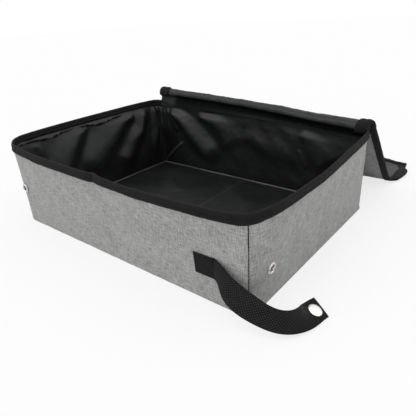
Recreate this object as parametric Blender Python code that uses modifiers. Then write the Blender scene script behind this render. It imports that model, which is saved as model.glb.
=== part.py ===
"""Foldable travel litter box.

A fabric tray with board stiffened walls, a satin lining, a bound rim, a soft lid sewn to the
back wall and a webbing strap with a snap.  Units are metres, +Z is up, +X runs along the front
wall and +Y points to the back.  The origin is on the ground under the middle of the tray.
"""
import math

import bmesh
import bpy
from mathutils import Vector

# Tray, outside
box_width = 0.400
box_depth = 0.300
rim_height = 0.118

# Layers of a wall and of the floor, from the outside in
shell_thickness = 0.0010
board_thickness = 0.0020
lining_thickness = 0.0008
clearance = 0.0003

# Bound rim
binding_thickness = 0.0010
binding_drop = 0.0110
binding_inner_drop = 0.0125

# The front wall bows out between its corners, most at the rim
front_bow = 0.0095
bow_height_power = 1.3

# Floor
floor_lap = 0.0120
floor_lip_thickness = 0.0010

# Lid, from the rim to its free edge
lid_strip_height = 0.0200
lid_ramp_length = 0.1750
lid_flap_length = 0.1050
lid_overhang = 0.0020
lid_board_thickness = 0.0015
lid_hinge_inset = 0.0020
lid_binding_width = 0.0110
ridge_thickness = 0.0012
ridge_slack = 0.0006
ridge_leg = 0.0050
board_hem = 0.0080

# Strap and its snap
strap_width = 0.0250
strap_thickness = 0.0014
strap_length = 0.1510
strap_middle_height = 0.0465
strap_tab_length = 0.0250
strap_tab_from_corner = 0.0650
strap_fold_gap = 0.0005
snap_from_strap_end = 0.0105
cap_diameter = 0.0150
cap_height = 0.0030
cap_edge_height = 0.0008
post_diameter = 0.0044
socket_diameter = 0.0110
socket_height = 0.0022

# Snap studs on the walls
stud_diameter = 0.0140
stud_rim_height = 0.0012
stud_dish_diameter = 0.0080
stud_knob_diameter = 0.0046
stud_knob_height = 0.0036
stud_neck_diameter = 0.0036
eyelet_diameter = 0.0110
eyelet_thickness = 0.0006
side_stud_from_corner = 0.0370
side_stud_height = 0.0430
front_stud_from_corner = 0.0100
front_stud_height = 0.0540

# How far a cutter runs past each face of what it cuts
cut_overrun = 0.0020

# Worked out from the sizes above
half_width = box_width / 2
half_depth = box_depth / 2
lining_depth = shell_thickness + board_thickness + 2 * clearance
wall_thickness = lining_depth + lining_thickness
floor_thickness = wall_thickness
board_depth = shell_thickness + clearance
binding_stand = clearance + binding_thickness
layer_top = rim_height - binding_thickness - clearance
side_bottom = floor_thickness + clearance
fold_axis_depth = wall_thickness + binding_stand
crease_axis_x = half_width + binding_stand
corner_axis_x = half_width - fold_axis_depth
corner_axis_y = half_depth - fold_axis_depth
floor_crease_height = binding_stand + fold_axis_depth
lid_thickness = shell_thickness + lid_board_thickness + lining_thickness + 2 * clearance
lid_board_level = shell_thickness + clearance
lid_lining_level = lid_board_level + lid_board_thickness + clearance
lid_half_width = half_width + lid_overhang
lid_hinge_y = half_depth - lid_hinge_inset
lid_hinge_z = rim_height + clearance + binding_stand
ridge_y = lid_hinge_y + lid_thickness
ridge_z = lid_hinge_z + lid_strip_height
lid_crease_z = lid_thickness + binding_stand
strap_tab_start = half_width - strap_tab_from_corner
strap_root_x = strap_tab_start + strap_tab_length

# Lining folds on each wall.  A fold runs from a top place to a bottom place, each given as a share
# of the wall's length and of its height.  Its own height and half width are shares of the rim height.
back_fold_shares = (
    ((0.11, 0.96), (0.40, 0.22), 0.055, 0.085),
    ((0.31, 0.92), (0.47, 0.55), 0.040, 0.075),
    ((0.04, 0.10), (0.15, 0.50), 0.030, 0.050),
    ((0.88, 0.95), (0.62, 0.25), 0.050, 0.085),
    ((0.70, 0.92), (0.56, 0.50), 0.035, 0.075),
)
front_fold_shares = (
    ((0.12, 0.92), (0.34, 0.25), 0.050, 0.085),
    ((0.52, 0.90), (0.46, 0.35), 0.035, 0.080),
    ((0.87, 0.94), (0.66, 0.22), 0.050, 0.085),
)
left_fold_shares = (
    ((0.45, 0.96), (0.25, 0.58), 0.045, 0.085),
    ((0.85, 0.95), (0.60, 0.28), 0.055, 0.095),
    ((0.16, 0.90), (0.30, 0.25), 0.035, 0.080),
)
right_fold_shares = (
    ((0.14, 0.94), (0.38, 0.30), 0.050, 0.085),
    ((0.80, 0.94), (0.64, 0.32), 0.045, 0.085),
    ((0.50, 0.80), (0.52, 0.30), 0.030, 0.080),
)
fold_fade_share = 0.14
fold_limit_share = 0.075

# Turns of the strap as (share of its length, heading, dip, lean) with angles in degrees
strap_turn_shares = (
    (0.00, -9, 0, 0),
    (0.02, -14, -7, 0),
    (0.10, -32, -21, 5),
    (0.20, -5, -38, 24),
    (0.30, 22, -40, 27),
    (0.40, 17, -24, 30),
    (0.50, -4, -1, 23),
    (0.58, 17, -1, 9),
    (0.65, 50, 2, 8),
    (0.72, 94, -15, 11),
    (0.77, 101, -41, 20),
    (0.82, 98, -41, 64),
    (0.86, 90, 0, 84),
    (0.88, 82, 0, 90),
    (1.00, 74, 0, 90),
)

# Mesh steps
wall_steps = 26
wall_cross_steps = 10
bow_steps = 24
strap_steps = 60
strap_cross_steps = 2
tab_steps = 5
round_steps = 32
dome_steps = 6
ridge_steps = 14

# Finishes as (red, green, blue), roughness, metallic
linen_grey = ((0.33, 0.33, 0.32), 0.90, 0.0)
satin_black = ((0.012, 0.013, 0.013), 0.38, 0.0)
binding_black = ((0.020, 0.021, 0.021), 0.80, 0.0)
board_grey = ((0.45, 0.45, 0.43), 0.70, 0.0)
webbing_black = ((0.014, 0.015, 0.015), 0.75, 0.0)
nickel = ((0.78, 0.76, 0.72), 0.25, 1.0)


def clear_scene():
    for old in list(bpy.data.objects):
        bpy.data.objects.remove(old, do_unlink=True)


def new_collection(name):
    collection = bpy.data.collections.new(name)
    bpy.context.scene.collection.children.link(collection)
    return collection


def finish_material(name, finish):
    """One Principled material for one sub-part."""
    colour, roughness, metallic = finish
    material = bpy.data.materials.new(name + "_finish")
    material.use_nodes = True
    shader = material.node_tree.nodes["Principled BSDF"]
    shader.inputs["Base Color"].default_value = (*colour, 1.0)
    shader.inputs["Roughness"].default_value = roughness
    shader.inputs["Metallic"].default_value = metallic
    return material


def add_pivot(name, place, parent=None, tilt=0.0):
    """An empty on a joint's axis, which carries one moving group of pieces."""
    pivot = bpy.data.objects.new(name, None)
    pivots.objects.link(pivot)
    pivot.parent = parent
    start = parent["place"] if parent else (0, 0, 0)
    pivot["place"] = place
    pivot.location = Vector(place) - Vector(start)
    pivot.rotation_euler.x = tilt
    return pivot


def add_piece(name, mesh, finish, pivot, place=None):
    """A sub-part on its pivot.  Its place is in world axes, or in the pivot's own if none is given."""
    piece = bpy.data.objects.new(name, mesh)
    parts.objects.link(piece)
    mesh.materials.append(finish_material(name, finish))
    piece.parent = pivot
    if place is not None:
        piece.location = Vector(place) - Vector(pivot["place"])
    return piece


def add_cutter(name, mesh, piece):
    """A hidden solid that is cut out of a piece, in that piece's own axes."""
    cutter = bpy.data.objects.new(name, mesh)
    cutters.objects.link(cutter)
    cutter.parent = piece
    cutter.hide_render = True
    cutter.display_type = "WIRE"
    cut = piece.modifiers.new(name, "BOOLEAN")
    cut.operation = "DIFFERENCE"
    cut.solver = "EXACT"
    cut.object = cutter
    return cutter


def mesh_from(name, bm):
    mesh = bpy.data.meshes.new(name)
    bm.to_mesh(mesh)
    bm.free()
    return mesh


def block_mesh(name, low, high):
    """A box between two corners, centred on its own origin."""
    size = Vector(high) - Vector(low)
    bm = bmesh.new()
    bmesh.ops.create_cube(bm, size=1.0)
    bmesh.ops.scale(bm, vec=size, verts=bm.verts)
    return mesh_from(name, bm), (Vector(high) + Vector(low)) / 2


def block(name, low, high, finish, pivot):
    """A box between two corners in the pivot's axes."""
    mesh, middle = block_mesh(name, low, high)
    piece = add_piece(name, mesh, finish, pivot)
    piece.location = middle
    return piece


def world_block(name, low, high, finish, pivot):
    """A box between two corners in world axes."""
    mesh, middle = block_mesh(name, low, high)
    return add_piece(name, mesh, finish, pivot, middle)


def bent_sheet(name, surface, steps, thickness, growth, finish, pivot):
    """A sheet over surface(a, b), thickened towards growth.  Growth is None for both sides alike."""
    start = Vector(pivot["place"])
    bm = bmesh.new()
    bmesh.ops.create_grid(bm, x_segments=steps[0], y_segments=steps[1], size=0.5)
    for vert in bm.verts:
        vert.co = Vector(surface(vert.co.x + 0.5, vert.co.y + 0.5)) - start
    bm.normal_update()
    facing = sum((face.normal * face.calc_area() for face in bm.faces), Vector())
    if growth is not None and facing.dot(Vector(growth)) < 0:
        bmesh.ops.reverse_faces(bm, faces=bm.faces)
    piece = add_piece(name, mesh_from(name, bm), finish, pivot)
    solid = piece.modifiers.new("Thickness", "SOLIDIFY")
    solid.thickness = thickness
    solid.offset = 0 if growth is None else 1
    solid.use_even_offset = growth is not None
    return piece


def bent_block(name, steps, place, finish, pivot):
    """A closed solid over place(a, b, t): a along it, b across its outline, t through it."""
    start = Vector(pivot["place"])
    bm = bmesh.new()
    bmesh.ops.create_cube(bm, size=1.0)
    for axis, count in enumerate(steps):
        along_axis = [
            edge for edge in bm.edges
            if abs(edge.verts[0].co[axis] - edge.verts[1].co[axis]) > 1 / 2
        ]
        if count > 1:
            bmesh.ops.subdivide_edges(bm, edges=along_axis, cuts=count - 1, use_grid_fill=True)
    for vert in bm.verts:
        a, b, t = (coordinate + 0.5 for coordinate in vert.co)
        vert.co = Vector(place(a, b, t)) - start
    if bm.calc_volume(signed=True) < 0:
        bmesh.ops.reverse_faces(bm, faces=bm.faces)
    return add_piece(name, mesh_from(name, bm), finish, pivot)


def channel_inside(outer, thickness):
    """The inner outline of a tape folded round an edge, from its outer outline of four points."""
    (first_x, first_y), (turn_x, top), (far_x, _), (_, last_y) = outer
    side = thickness if far_x > turn_x else -thickness
    fall = thickness if top > first_y else -thickness
    return (
        (first_x + side, first_y),
        (turn_x + side, top - fall),
        (far_x - side, top - fall),
        (far_x - side, last_y),
    )


def smooth_share(value):
    value = min(max(value, 0), 1)
    return value * value * (3 - 2 * value)


def halves(reach):
    """The left and the right half of a width, with a crease between them."""
    gap = clearance / 2
    return (("left", -reach, -gap), ("right", gap, reach))


def front_bow_at(along, height):
    """How far the front wall stands out of its plane."""
    reach = along / half_width
    lift = max(height, 0) / rim_height
    return front_bow * max(1 - reach * reach, 0) * lift ** bow_height_power


def wall_place(side, along, depth, height):
    """A point of a wall: its place along the wall, its depth from the outer face, its height."""
    if side == "front":
        return (along, -half_depth + depth - front_bow_at(along, height), height)
    if side == "back":
        return (along, half_depth - depth, height)
    if side == "right":
        return (half_width - depth, along, height)
    return (-half_width + depth, along, height)


inward = {"front": (0, 1, 0), "back": (0, -1, 0), "right": (-1, 0, 0), "left": (1, 0, 0)}
wall_half_length = {"front": half_width, "back": half_width, "right": half_depth, "left": half_depth}


def fold_height(side, folds, along, height):
    """How far the loose lining stands into the tray at a place on its wall."""
    half_length = wall_half_length[side]
    total = 0
    for (top_along, top_up), (low_along, low_up), high, wide in folds:
        top = Vector(((top_along * 2 - 1) * half_length, top_up * rim_height))
        low = Vector(((low_along * 2 - 1) * half_length, low_up * rim_height))
        run = low - top
        offset = Vector((along, height)) - top
        share = min(max(offset.dot(run) / run.length_squared, 0), 1)
        distance = (offset - run * share).length / (wide * rim_height)
        total += high * rim_height * math.exp(-distance * distance)
    from_corner = half_length - abs(along)
    limit = max(from_corner - wall_thickness - clearance, 0) * fold_limit_share
    total = min(total, limit + clearance)
    fade = fold_fade_share * rim_height
    rise = smooth_share((height - side_bottom) / fade)
    fall = smooth_share((rim_height - binding_inner_drop - height) / fade)
    return max(total * rise * fall, 0)


def wall_layer(name, side, span, bottom, depth, thickness, finish, pivot):
    """A flat or bowed layer of a wall that grows inwards from its depth."""

    def surface(a, b):
        along = span[0] + (span[1] - span[0]) * a
        height = bottom + (layer_top - bottom) * b
        return wall_place(side, along, depth, height)

    steps = (bow_steps, wall_cross_steps) if side == "front" else (1, 1)
    return bent_sheet(name, surface, steps, thickness, inward[side], finish, pivot)


def wall_lining(name, side, span, bottom, folds, steps, pivot):
    """The satin lining of a wall with its main folds."""

    def surface(a, b):
        along = span[0] + (span[1] - span[0]) * a
        height = bottom + (layer_top - bottom) * b
        depth = lining_depth + fold_height(side, folds, along, height)
        return wall_place(side, along, depth, height)

    return bent_sheet(name, surface, steps, lining_thickness, inward[side], satin_black, pivot)


def rim_binding(name, side, outer_span, inner_span, pivot):
    """Tape folded over the top of a wall, with mitred ends at the tray's corners."""
    outer = (
        (-binding_stand, rim_height - binding_drop),
        (-binding_stand, rim_height),
        (wall_thickness + binding_stand, rim_height),
        (wall_thickness + binding_stand, rim_height - binding_inner_drop),
    )
    inner = channel_inside(outer, binding_thickness)
    spans = (outer_span, outer_span, inner_span, inner_span)

    def place(a, b, t):
        index = round(b * (len(outer) - 1))
        depth, height = (inner if t > 1 / 2 else outer)[index]
        low, high = spans[index]
        return wall_place(side, low + (high - low) * a, depth, height)

    steps = (bow_steps if side == "front" else 1, len(outer) - 1, 1)
    return bent_block(name, steps, place, binding_black, pivot)


def long_wall(side, folds, pivot):
    """The front or the back wall.  Its boards are two, with a crease between them."""
    span = (-half_width, half_width)
    shell = wall_layer(side + "_shell", side, span, 0, 0, shell_thickness, linen_grey, pivot)
    boards = []
    for hand, low, high in halves(half_width - board_depth):
        name = side + "_board_" + hand
        board = wall_layer(name, side, (low, high), 0, board_depth, board_thickness, board_grey, pivot)
        boards.append(board)
    lining_end = corner_axis_x + binding_stand
    span = (-lining_end, lining_end)
    wall_lining(side + "_lining", side, span, clearance, folds, (wall_steps, wall_cross_steps), pivot)
    outer_end = half_width + binding_stand
    outer_span = (-outer_end, outer_end)
    inner_span = (-corner_axis_x, corner_axis_x)
    rim_binding(side + "_rim_binding", side, outer_span, inner_span, pivot)
    return shell, boards


def side_wall_half(hand, end, folds, pivot):
    """One half of a short wall, between a corner and the wall's centre crease."""
    sign = 1 if end == "rear" else -1
    name = hand + "_" + end
    crease = sign * clearance / 2
    span = sorted((crease, sign * (half_depth - board_depth)))
    shell = wall_layer(name + "_shell", hand, span, side_bottom, 0, shell_thickness, linen_grey, pivot)
    span = sorted((crease, sign * (half_depth - wall_thickness - clearance)))
    board = wall_layer(name + "_board", hand, span, side_bottom, board_depth, board_thickness,
                       board_grey, pivot)
    steps = (wall_steps // 2, wall_cross_steps)
    wall_lining(name + "_lining", hand, span, side_bottom, folds, steps, pivot)
    outer_span = sorted((crease, sign * (half_depth - binding_thickness)))
    inner_span = sorted((crease, sign * (corner_axis_y - clearance)))
    rim_binding(name + "_rim_binding", hand, outer_span, inner_span, pivot)
    return shell, board


def side_wall(hand, sign, folds, back):
    """A short wall, which creases outwards at its middle.  Returns what its front half carries."""
    rear = add_pivot(hand + "_rear_pivot", (sign * corner_axis_x, corner_axis_y, 0), back)
    fore = add_pivot(hand + "_front_pivot", (sign * crease_axis_x, 0, 0), rear)
    side_wall_half(hand, "rear", folds, rear)
    shell, board = side_wall_half(hand, "front", folds, fore)
    return shell, board, fore


def floor_half(end, pivot):
    """One half of the floor.  The base cloth of the rear half laps under the front one."""
    sign = 1 if end == "rear" else -1
    far = sign * (half_depth - wall_thickness - clearance)
    near = sign * clearance / 2
    lap = -floor_lap if end == "rear" else -floor_lap - clearance
    inner = half_width - floor_lip_thickness
    outer_outline = (
        (-half_width, floor_thickness),
        (-half_width, 0),
        (half_width, 0),
        (half_width, floor_thickness),
    )
    inner_outline = channel_inside(outer_outline, floor_lip_thickness)
    span = sorted((lap, far))

    def place(a, b, t):
        index = round(b * (len(outer_outline) - 1))
        across, height = (inner_outline if t > 1 / 2 else outer_outline)[index]
        return (across, span[0] + (span[1] - span[0]) * a, height)

    name = "floor_" + end
    bent_block(name + "_base", (1, len(outer_outline) - 1, 1), place, linen_grey, pivot)
    low_y, high_y = sorted((near, far))
    board_low = floor_lip_thickness + clearance
    board_high = floor_thickness - lining_thickness - clearance
    inner -= clearance
    for hand, low_x, high_x in halves(inner):
        low = (low_x, low_y, board_low)
        high = (high_x, high_y, board_high)
        world_block(name + "_board_" + hand, low, high, board_grey, pivot)
    low = (-inner, low_y, board_high + clearance)
    high = (inner, high_y, floor_thickness)
    world_block(name + "_lining", low, high, satin_black, pivot)


def lid_layer(name, start, end, base, thickness, half_span, finish, pivot):
    """A flat layer of the lid in its pivot's axes."""
    low = (-half_span, start, base)
    high = (half_span, end, base + thickness)
    return block(name, low, high, finish, pivot)


def lid_board_pair(name, start, end, base, pivot):
    """Two stiffening boards side by side."""
    for hand, low_x, high_x in halves(lid_half_width - board_hem):
        low = (low_x, start, base)
        high = (high_x, end, base + lid_board_thickness)
        block(name + "_board_" + hand, low, high, board_grey, pivot)


def edge_binding(name, outer, start, end, axis, pivot):
    """Tape folded over a lid edge.  The outline is in the plane across the tape's length."""
    turned_outer = [(height, across) for across, height in outer]
    turned_inner = channel_inside(turned_outer, binding_thickness)
    inner = [(across, height) for height, across in turned_inner]

    def place(a, b, t):
        index = round(b * (len(outer) - 1))
        across, height = (inner if t > 1 / 2 else outer)[index]
        along = start + (end - start) * a
        local = (across, along, height) if axis == "y" else (along, across, height)
        return Vector(pivot["place"]) + Vector(local)

    return bent_block(name, (1, len(outer) - 1, 1), place, binding_black, pivot)


def tape_outline(edge, base, sign=1):
    """The U section of a tape over an edge at a distance from the pivot."""
    outer = edge + binding_stand
    inner = edge - lid_binding_width
    low = base - binding_stand
    high = base + lid_thickness + binding_stand
    return (
        (sign * inner, low),
        (sign * outer, low),
        (sign * outer, high),
        (sign * inner, high),
    )


def lid_strip(pivot):
    """The short upright strip between the rim and the ridge, sewn to the back wall."""
    base = -lid_thickness
    start = -binding_stand
    end = lid_strip_height - clearance
    lid_layer("lid_strip_shell", start, end, base, shell_thickness, half_width, linen_grey, pivot)
    base += lid_board_level
    thickness = lid_thickness - lid_board_level
    lid_layer("lid_strip_lining", start, end, base, thickness, half_width, satin_black, pivot)


def lid_ramp(pivot):
    """The large panel of the lid, which leans from the ridge to the ground behind the tray."""
    start = clearance
    end = lid_ramp_length - clearance
    name = "lid_rear"
    lid_layer(name + "_shell", start, end, 0, shell_thickness, lid_half_width, linen_grey, pivot)
    lid_board_pair(name, start, end, lid_board_level, pivot)
    lid_layer(name + "_lining", start, end, lid_lining_level, lining_thickness, lid_half_width,
              satin_black, pivot)
    tape_start = ridge_leg + 2 * clearance
    tape_end = end - 2 * binding_stand
    for hand, sign in (("left", -1), ("right", 1)):
        outline = tape_outline(lid_half_width, 0, sign)
        edge_binding(name + "_binding_" + hand, outline, tape_start, tape_end, "y", pivot)


def lid_flap(pivot):
    """The last panel of the lid, flat on the ground, with its bound free edge."""
    start = clearance
    end = lid_flap_length
    base = -lid_thickness
    name = "lid_front"
    lid_layer(name + "_shell", start, end, base, shell_thickness, lid_half_width, linen_grey, pivot)
    lid_board_pair(name, start, end - board_hem, base + lid_board_level, pivot)
    lid_layer(name + "_lining", start, end, base + lid_lining_level, lining_thickness,
              lid_half_width, satin_black, pivot)
    tape_start = 2 * binding_stand
    tape_end = end - lid_binding_width - clearance
    for hand, sign in (("left", -1), ("right", 1)):
        outline = tape_outline(lid_half_width, base, sign)
        edge_binding(name + "_binding_" + hand, outline, tape_start, tape_end, "y", pivot)
    outline = tape_outline(end, base)
    reach = lid_half_width + binding_stand
    edge_binding("lid_edge_binding", outline, -reach, reach, "x", pivot)


def lid_ridge(pivot, lean):
    """The rolled cloth over the ridge, from the front of the strip to the top of the ramp."""
    radius = lid_thickness + clearance + ridge_slack
    turn = math.pi / 2 + lean
    middle = Vector((0, ridge_y, ridge_z))
    first_leg = Vector((0, 0, -ridge_leg))
    last_leg = Vector((0, math.cos(lean), -math.sin(lean))) * ridge_leg

    def surface(a, b):
        step = round(b * ridge_steps)
        angle = turn * min(max(step - 1, 0) / (ridge_steps - 2), 1)
        point = middle + Vector((0, -math.cos(angle), math.sin(angle))) * radius
        if step == 0:
            point += first_leg
        elif step == ridge_steps:
            point += last_leg
        return (half_width * (2 * a - 1), point.y, point.z)

    return bent_sheet("lid_ridge_roll", surface, (1, ridge_steps), ridge_thickness, (0, 0, 1),
                      satin_black, pivot)


def strap_turns(share):
    """Heading, dip and lean at a share of the strap's length, in radians."""
    for low, high in zip(strap_turn_shares, strap_turn_shares[1:]):
        if share <= high[0]:
            part = (share - low[0]) / (high[0] - low[0])
            return [math.radians(a + (b - a) * part) for a, b in zip(low[1:], high[1:])]
    return [math.radians(a) for a in strap_turn_shares[-1][1:]]


def strap_frames(root):
    """Middle point, direction and width direction at each step along the strap.

    The fall is fitted so that the socket at the strap's end stands just off the ground.
    """
    frames = []
    point = Vector((0, 0, 0))
    last = None
    step = strap_length / strap_steps
    for index in range(strap_steps + 1):
        heading, dip, lean = strap_turns(index / strap_steps)
        level = Vector((math.cos(heading), math.sin(heading), 0))
        left = Vector((-math.sin(heading), math.cos(heading), 0))
        ahead = level * math.cos(dip) + Vector((0, 0, math.sin(dip)))
        rise = level * -math.sin(dip) + Vector((0, 0, math.cos(dip)))
        wide = rise * math.cos(lean) + left * math.sin(lean)
        if last is not None:
            point = point + (ahead + last) * (step / 2)
        last = ahead
        frames.append((point, ahead, wide))
    landing = strap_thickness / 2 + socket_height + 2 * clearance
    fall = (landing - root.z) / frames[-1][0].z
    fit = Vector((1, 1, fall))
    return [(root + point * fit, ahead, wide) for point, ahead, wide in frames]


def turned(name, outline, finish, pivot, place, facing):
    """A round piece turned about its own axis.  The outline is (radius, height) from top to bottom."""
    bm = bmesh.new()
    ring = [bm.verts.new((radius, 0, height)) for radius, height in outline]
    for first, second in zip(ring, ring[1:]):
        bm.edges.new((first, second))
    piece = add_piece(name, mesh_from(name, bm), finish, pivot, place)
    piece.rotation_euler = Vector((0, 0, 1)).rotation_difference(Vector(facing)).to_euler()
    screw = piece.modifiers.new("Turn", "SCREW")
    screw.steps = round_steps
    screw.render_steps = round_steps
    screw.use_merge_vertices = True
    screw.merge_threshold = clearance / 10
    screw.use_normal_calculate = False
    return piece


def round_cutter(name, diameter, thickness, piece, place, facing):
    """A round hole through a layer of a piece, at a world place."""
    bm = bmesh.new()
    radius = diameter / 2
    depth = thickness + 2 * cut_overrun
    bmesh.ops.create_cone(bm, cap_ends=True, segments=round_steps, radius1=radius, radius2=radius,
                          depth=depth)
    cutter = add_cutter(name, mesh_from(name, bm), piece)
    turn = Vector((0, 0, 1)).rotation_difference(Vector(facing))
    cutter.rotation_euler = turn.to_euler()
    cutter.location = Vector(place) - Vector(piece.parent["place"]) - piece.location
    return cutter


def wall_stud(name, side, along, height, shell, board, pivot):
    """A snap stud riveted through the shell to an eyelet that lies in the board's hole."""
    base = Vector(wall_place(side, along, 0, height))
    facing = -Vector(inward[side])
    flange = stud_diameter / 2
    dish = stud_dish_diameter / 2
    knob = stud_knob_diameter / 2
    neck = stud_neck_diameter / 2
    seat = clearance
    shank_end = -shell_thickness - clearance
    lip = stud_rim_height / 2
    bead = (stud_knob_height - stud_rim_height) / 4
    outline = (
        (0, stud_knob_height),
        (knob - bead, stud_knob_height),
        (knob, stud_knob_height - bead),
        (knob, stud_knob_height - 2 * bead),
        (neck, stud_knob_height - 3 * bead),
        (neck, seat + lip),
        (dish, seat + lip),
        (dish + lip, seat + stud_rim_height),
        (flange - lip, seat + stud_rim_height),
        (flange, seat + lip),
        (flange, seat),
        (neck, seat),
        (neck, shank_end),
        (0, shank_end),
    )
    turned(name, outline, nickel, pivot, base, facing)
    hole = stud_neck_diameter + 2 * clearance
    round_cutter(name + "_hole", hole, shell_thickness, shell, base, facing)
    eyelet_place = base - facing * (shell_thickness + 2 * clearance + eyelet_thickness)
    ring = eyelet_diameter / 2
    outline = (
        (0, eyelet_thickness),
        (ring - eyelet_thickness / 2, eyelet_thickness),
        (ring, eyelet_thickness / 2),
        (ring, 0),
        (0, 0),
    )
    turned(name + "_eyelet", outline, nickel, pivot, eyelet_place, facing)
    pocket = eyelet_diameter + 4 * clearance
    board_place = base - facing * (board_depth + board_thickness / 2)
    round_cutter(name + "_pocket", pocket, board_thickness, board, board_place, facing)


def strap_tab(pivot):
    """The end of the strap that is sewn flat on the front wall."""
    stand = clearance + strap_thickness
    half = strap_width / 2

    def surface(a, b):
        along = strap_tab_start + (strap_tab_length - strap_fold_gap) * a
        height = strap_middle_height - half + strap_width * b
        return wall_place("front", along, -stand, height)

    return bent_sheet("strap_tab", surface, (tab_steps, 1), strap_thickness, inward["front"],
                      webbing_black, pivot)


def free_strap(pivot):
    """The free length of webbing, which turns from the wall down to the ground."""
    half_thickness = Vector((0, strap_thickness / 2, 0))
    frames = strap_frames(Vector(pivot["place"]) + half_thickness)

    def surface(a, b):
        point, _, wide = frames[round(a * strap_steps)]
        return point + wide * (strap_width * (b - 1 / 2))

    strap = bent_sheet("strap", surface, (strap_steps, strap_cross_steps), strap_thickness, None,
                       webbing_black, pivot)
    count = round((1 - snap_from_strap_end / strap_length) * strap_steps)
    point, ahead, wide = frames[count]
    facing = wide.cross(ahead)
    if facing.z < 0:
        facing = -facing
    hole = post_diameter + 2 * clearance
    round_cutter("strap_hole", hole, strap_thickness, strap, point, facing)
    stand = strap_thickness / 2 + clearance
    radius = cap_diameter / 2
    post = post_diameter / 2
    shank = -stand - strap_thickness / 2
    dome = [(0, stand + cap_height)]
    for index in range(1, dome_steps + 1):
        angle = math.pi / 2 * index / dome_steps
        height = cap_edge_height + (cap_height - cap_edge_height) * math.cos(angle)
        dome.append((radius * math.sin(angle), stand + height))
    outline = (*dome, (radius, stand), (post, stand), (post, shank), (0, shank))
    turned("snap_cap", outline, nickel, pivot, point, facing)
    ring = socket_diameter / 2
    bore = post + clearance
    top = -stand
    bottom = top - socket_height
    edge = socket_height / 4
    outline = (
        (ring - edge, top),
        (ring, top - edge),
        (ring, bottom + edge),
        (ring - edge, bottom),
        (bore, bottom),
        (bore, top),
        (ring - edge, top),
    )
    turned("snap_socket", outline, nickel, pivot, point, facing)


def build():
    """Pivots first, from the fixed back wall outwards, then the pieces that they carry."""
    back = add_pivot("back_wall_pivot", (0, 0, 0))
    long_wall("back", back_fold_shares, back)

    side_wall("left", -1, left_fold_shares, back)
    right_shell, right_board, right_pivot = side_wall("right", 1, right_fold_shares, back)
    front_pivot = add_pivot("front_wall_pivot", (corner_axis_x, -corner_axis_y, 0), right_pivot)
    front_shell, front_boards = long_wall("front", front_fold_shares, front_pivot)
    stud_along = -half_width + front_stud_from_corner
    wall_stud("front_stud", "front", stud_along, front_stud_height, front_shell, front_boards[0],
              front_pivot)
    stud_along = -half_depth + side_stud_from_corner
    wall_stud("side_stud", "right", stud_along, side_stud_height, right_shell, right_board,
              right_pivot)

    floor_rear = add_pivot("floor_rear_pivot", (0, corner_axis_y, 0), back)
    floor_front = add_pivot("floor_front_pivot", (0, 0, floor_crease_height), floor_rear)
    floor_half("rear", floor_rear)
    floor_half("front", floor_front)

    build_lid(back)
    strap_tab(front_pivot)
    fold = wall_place("front", strap_root_x, -clearance - strap_thickness, strap_middle_height)
    strap_pivot = add_pivot("strap_pivot", fold, front_pivot)
    free_strap(strap_pivot)


def build_lid(back):
    """The lid hangs open behind the tray: strip up, ridge, ramp down, flap on the ground."""
    rise = ridge_z - lid_crease_z
    lean = ramp_lean(rise)
    strip_pivot = add_pivot("lid_strip_pivot", (0, lid_hinge_y, lid_hinge_z), back, math.pi / 2)
    lid_strip(strip_pivot)
    ramp_pivot = add_pivot("lid_ramp_pivot", (0, ridge_y, ridge_z), back, -lean)
    lid_ramp(ramp_pivot)
    roll_pivot = add_pivot("lid_ridge_pivot", (0, ridge_y, ridge_z), back)
    lid_ridge(roll_pivot, lean)
    reach = lid_ramp_length * math.cos(lean) + lid_thickness * math.sin(lean)
    flap_pivot = add_pivot("lid_flap_pivot", (0, ridge_y + reach, lid_crease_z), back)
    lid_flap(flap_pivot)


def ramp_lean(rise):
    """The ramp's lean, so that its far lining edge meets the flap's crease."""
    span = math.hypot(lid_ramp_length, lid_thickness)
    return math.asin(rise / span) + math.atan2(lid_thickness, lid_ramp_length)


clear_scene()
parts = new_collection("foldable_litter_box")
cutters = new_collection("cutters")
pivots = new_collection("pivots")
build()
bpy.context.view_layer.update()
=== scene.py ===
"""Foldable litter box: the sewn cloth, satin, tape, webbing and snaps over the solid model."""
import math

import bpy
import numpy as np
from mathutils import Matrix, Vector


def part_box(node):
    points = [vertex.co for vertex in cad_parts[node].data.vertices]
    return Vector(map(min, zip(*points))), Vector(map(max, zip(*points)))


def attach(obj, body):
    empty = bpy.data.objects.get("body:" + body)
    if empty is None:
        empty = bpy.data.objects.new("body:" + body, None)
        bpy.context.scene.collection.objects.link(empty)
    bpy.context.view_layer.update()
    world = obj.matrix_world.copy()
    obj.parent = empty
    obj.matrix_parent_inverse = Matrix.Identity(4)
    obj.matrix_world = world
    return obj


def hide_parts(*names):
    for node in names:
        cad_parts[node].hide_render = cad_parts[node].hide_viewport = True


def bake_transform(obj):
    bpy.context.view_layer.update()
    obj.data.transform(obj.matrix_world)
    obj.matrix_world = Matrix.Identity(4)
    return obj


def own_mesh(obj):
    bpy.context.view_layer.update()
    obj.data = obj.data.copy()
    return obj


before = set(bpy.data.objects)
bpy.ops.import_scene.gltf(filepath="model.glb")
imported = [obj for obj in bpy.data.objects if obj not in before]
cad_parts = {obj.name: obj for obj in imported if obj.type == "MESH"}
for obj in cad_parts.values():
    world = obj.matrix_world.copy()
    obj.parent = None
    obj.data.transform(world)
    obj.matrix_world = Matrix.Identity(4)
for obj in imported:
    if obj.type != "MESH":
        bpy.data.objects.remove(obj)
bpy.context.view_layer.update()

bl_info = {
    "name": "Foldable litter box",
    "version": (1, 0, 0),
    "blender": (4, 5, 0),
    "location": "3D View > Sidebar > Litter box",
    "description": "Dresses the folding tray with its cloth, lining, tape, strap and snaps",
    "category": "Object",
}

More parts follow.
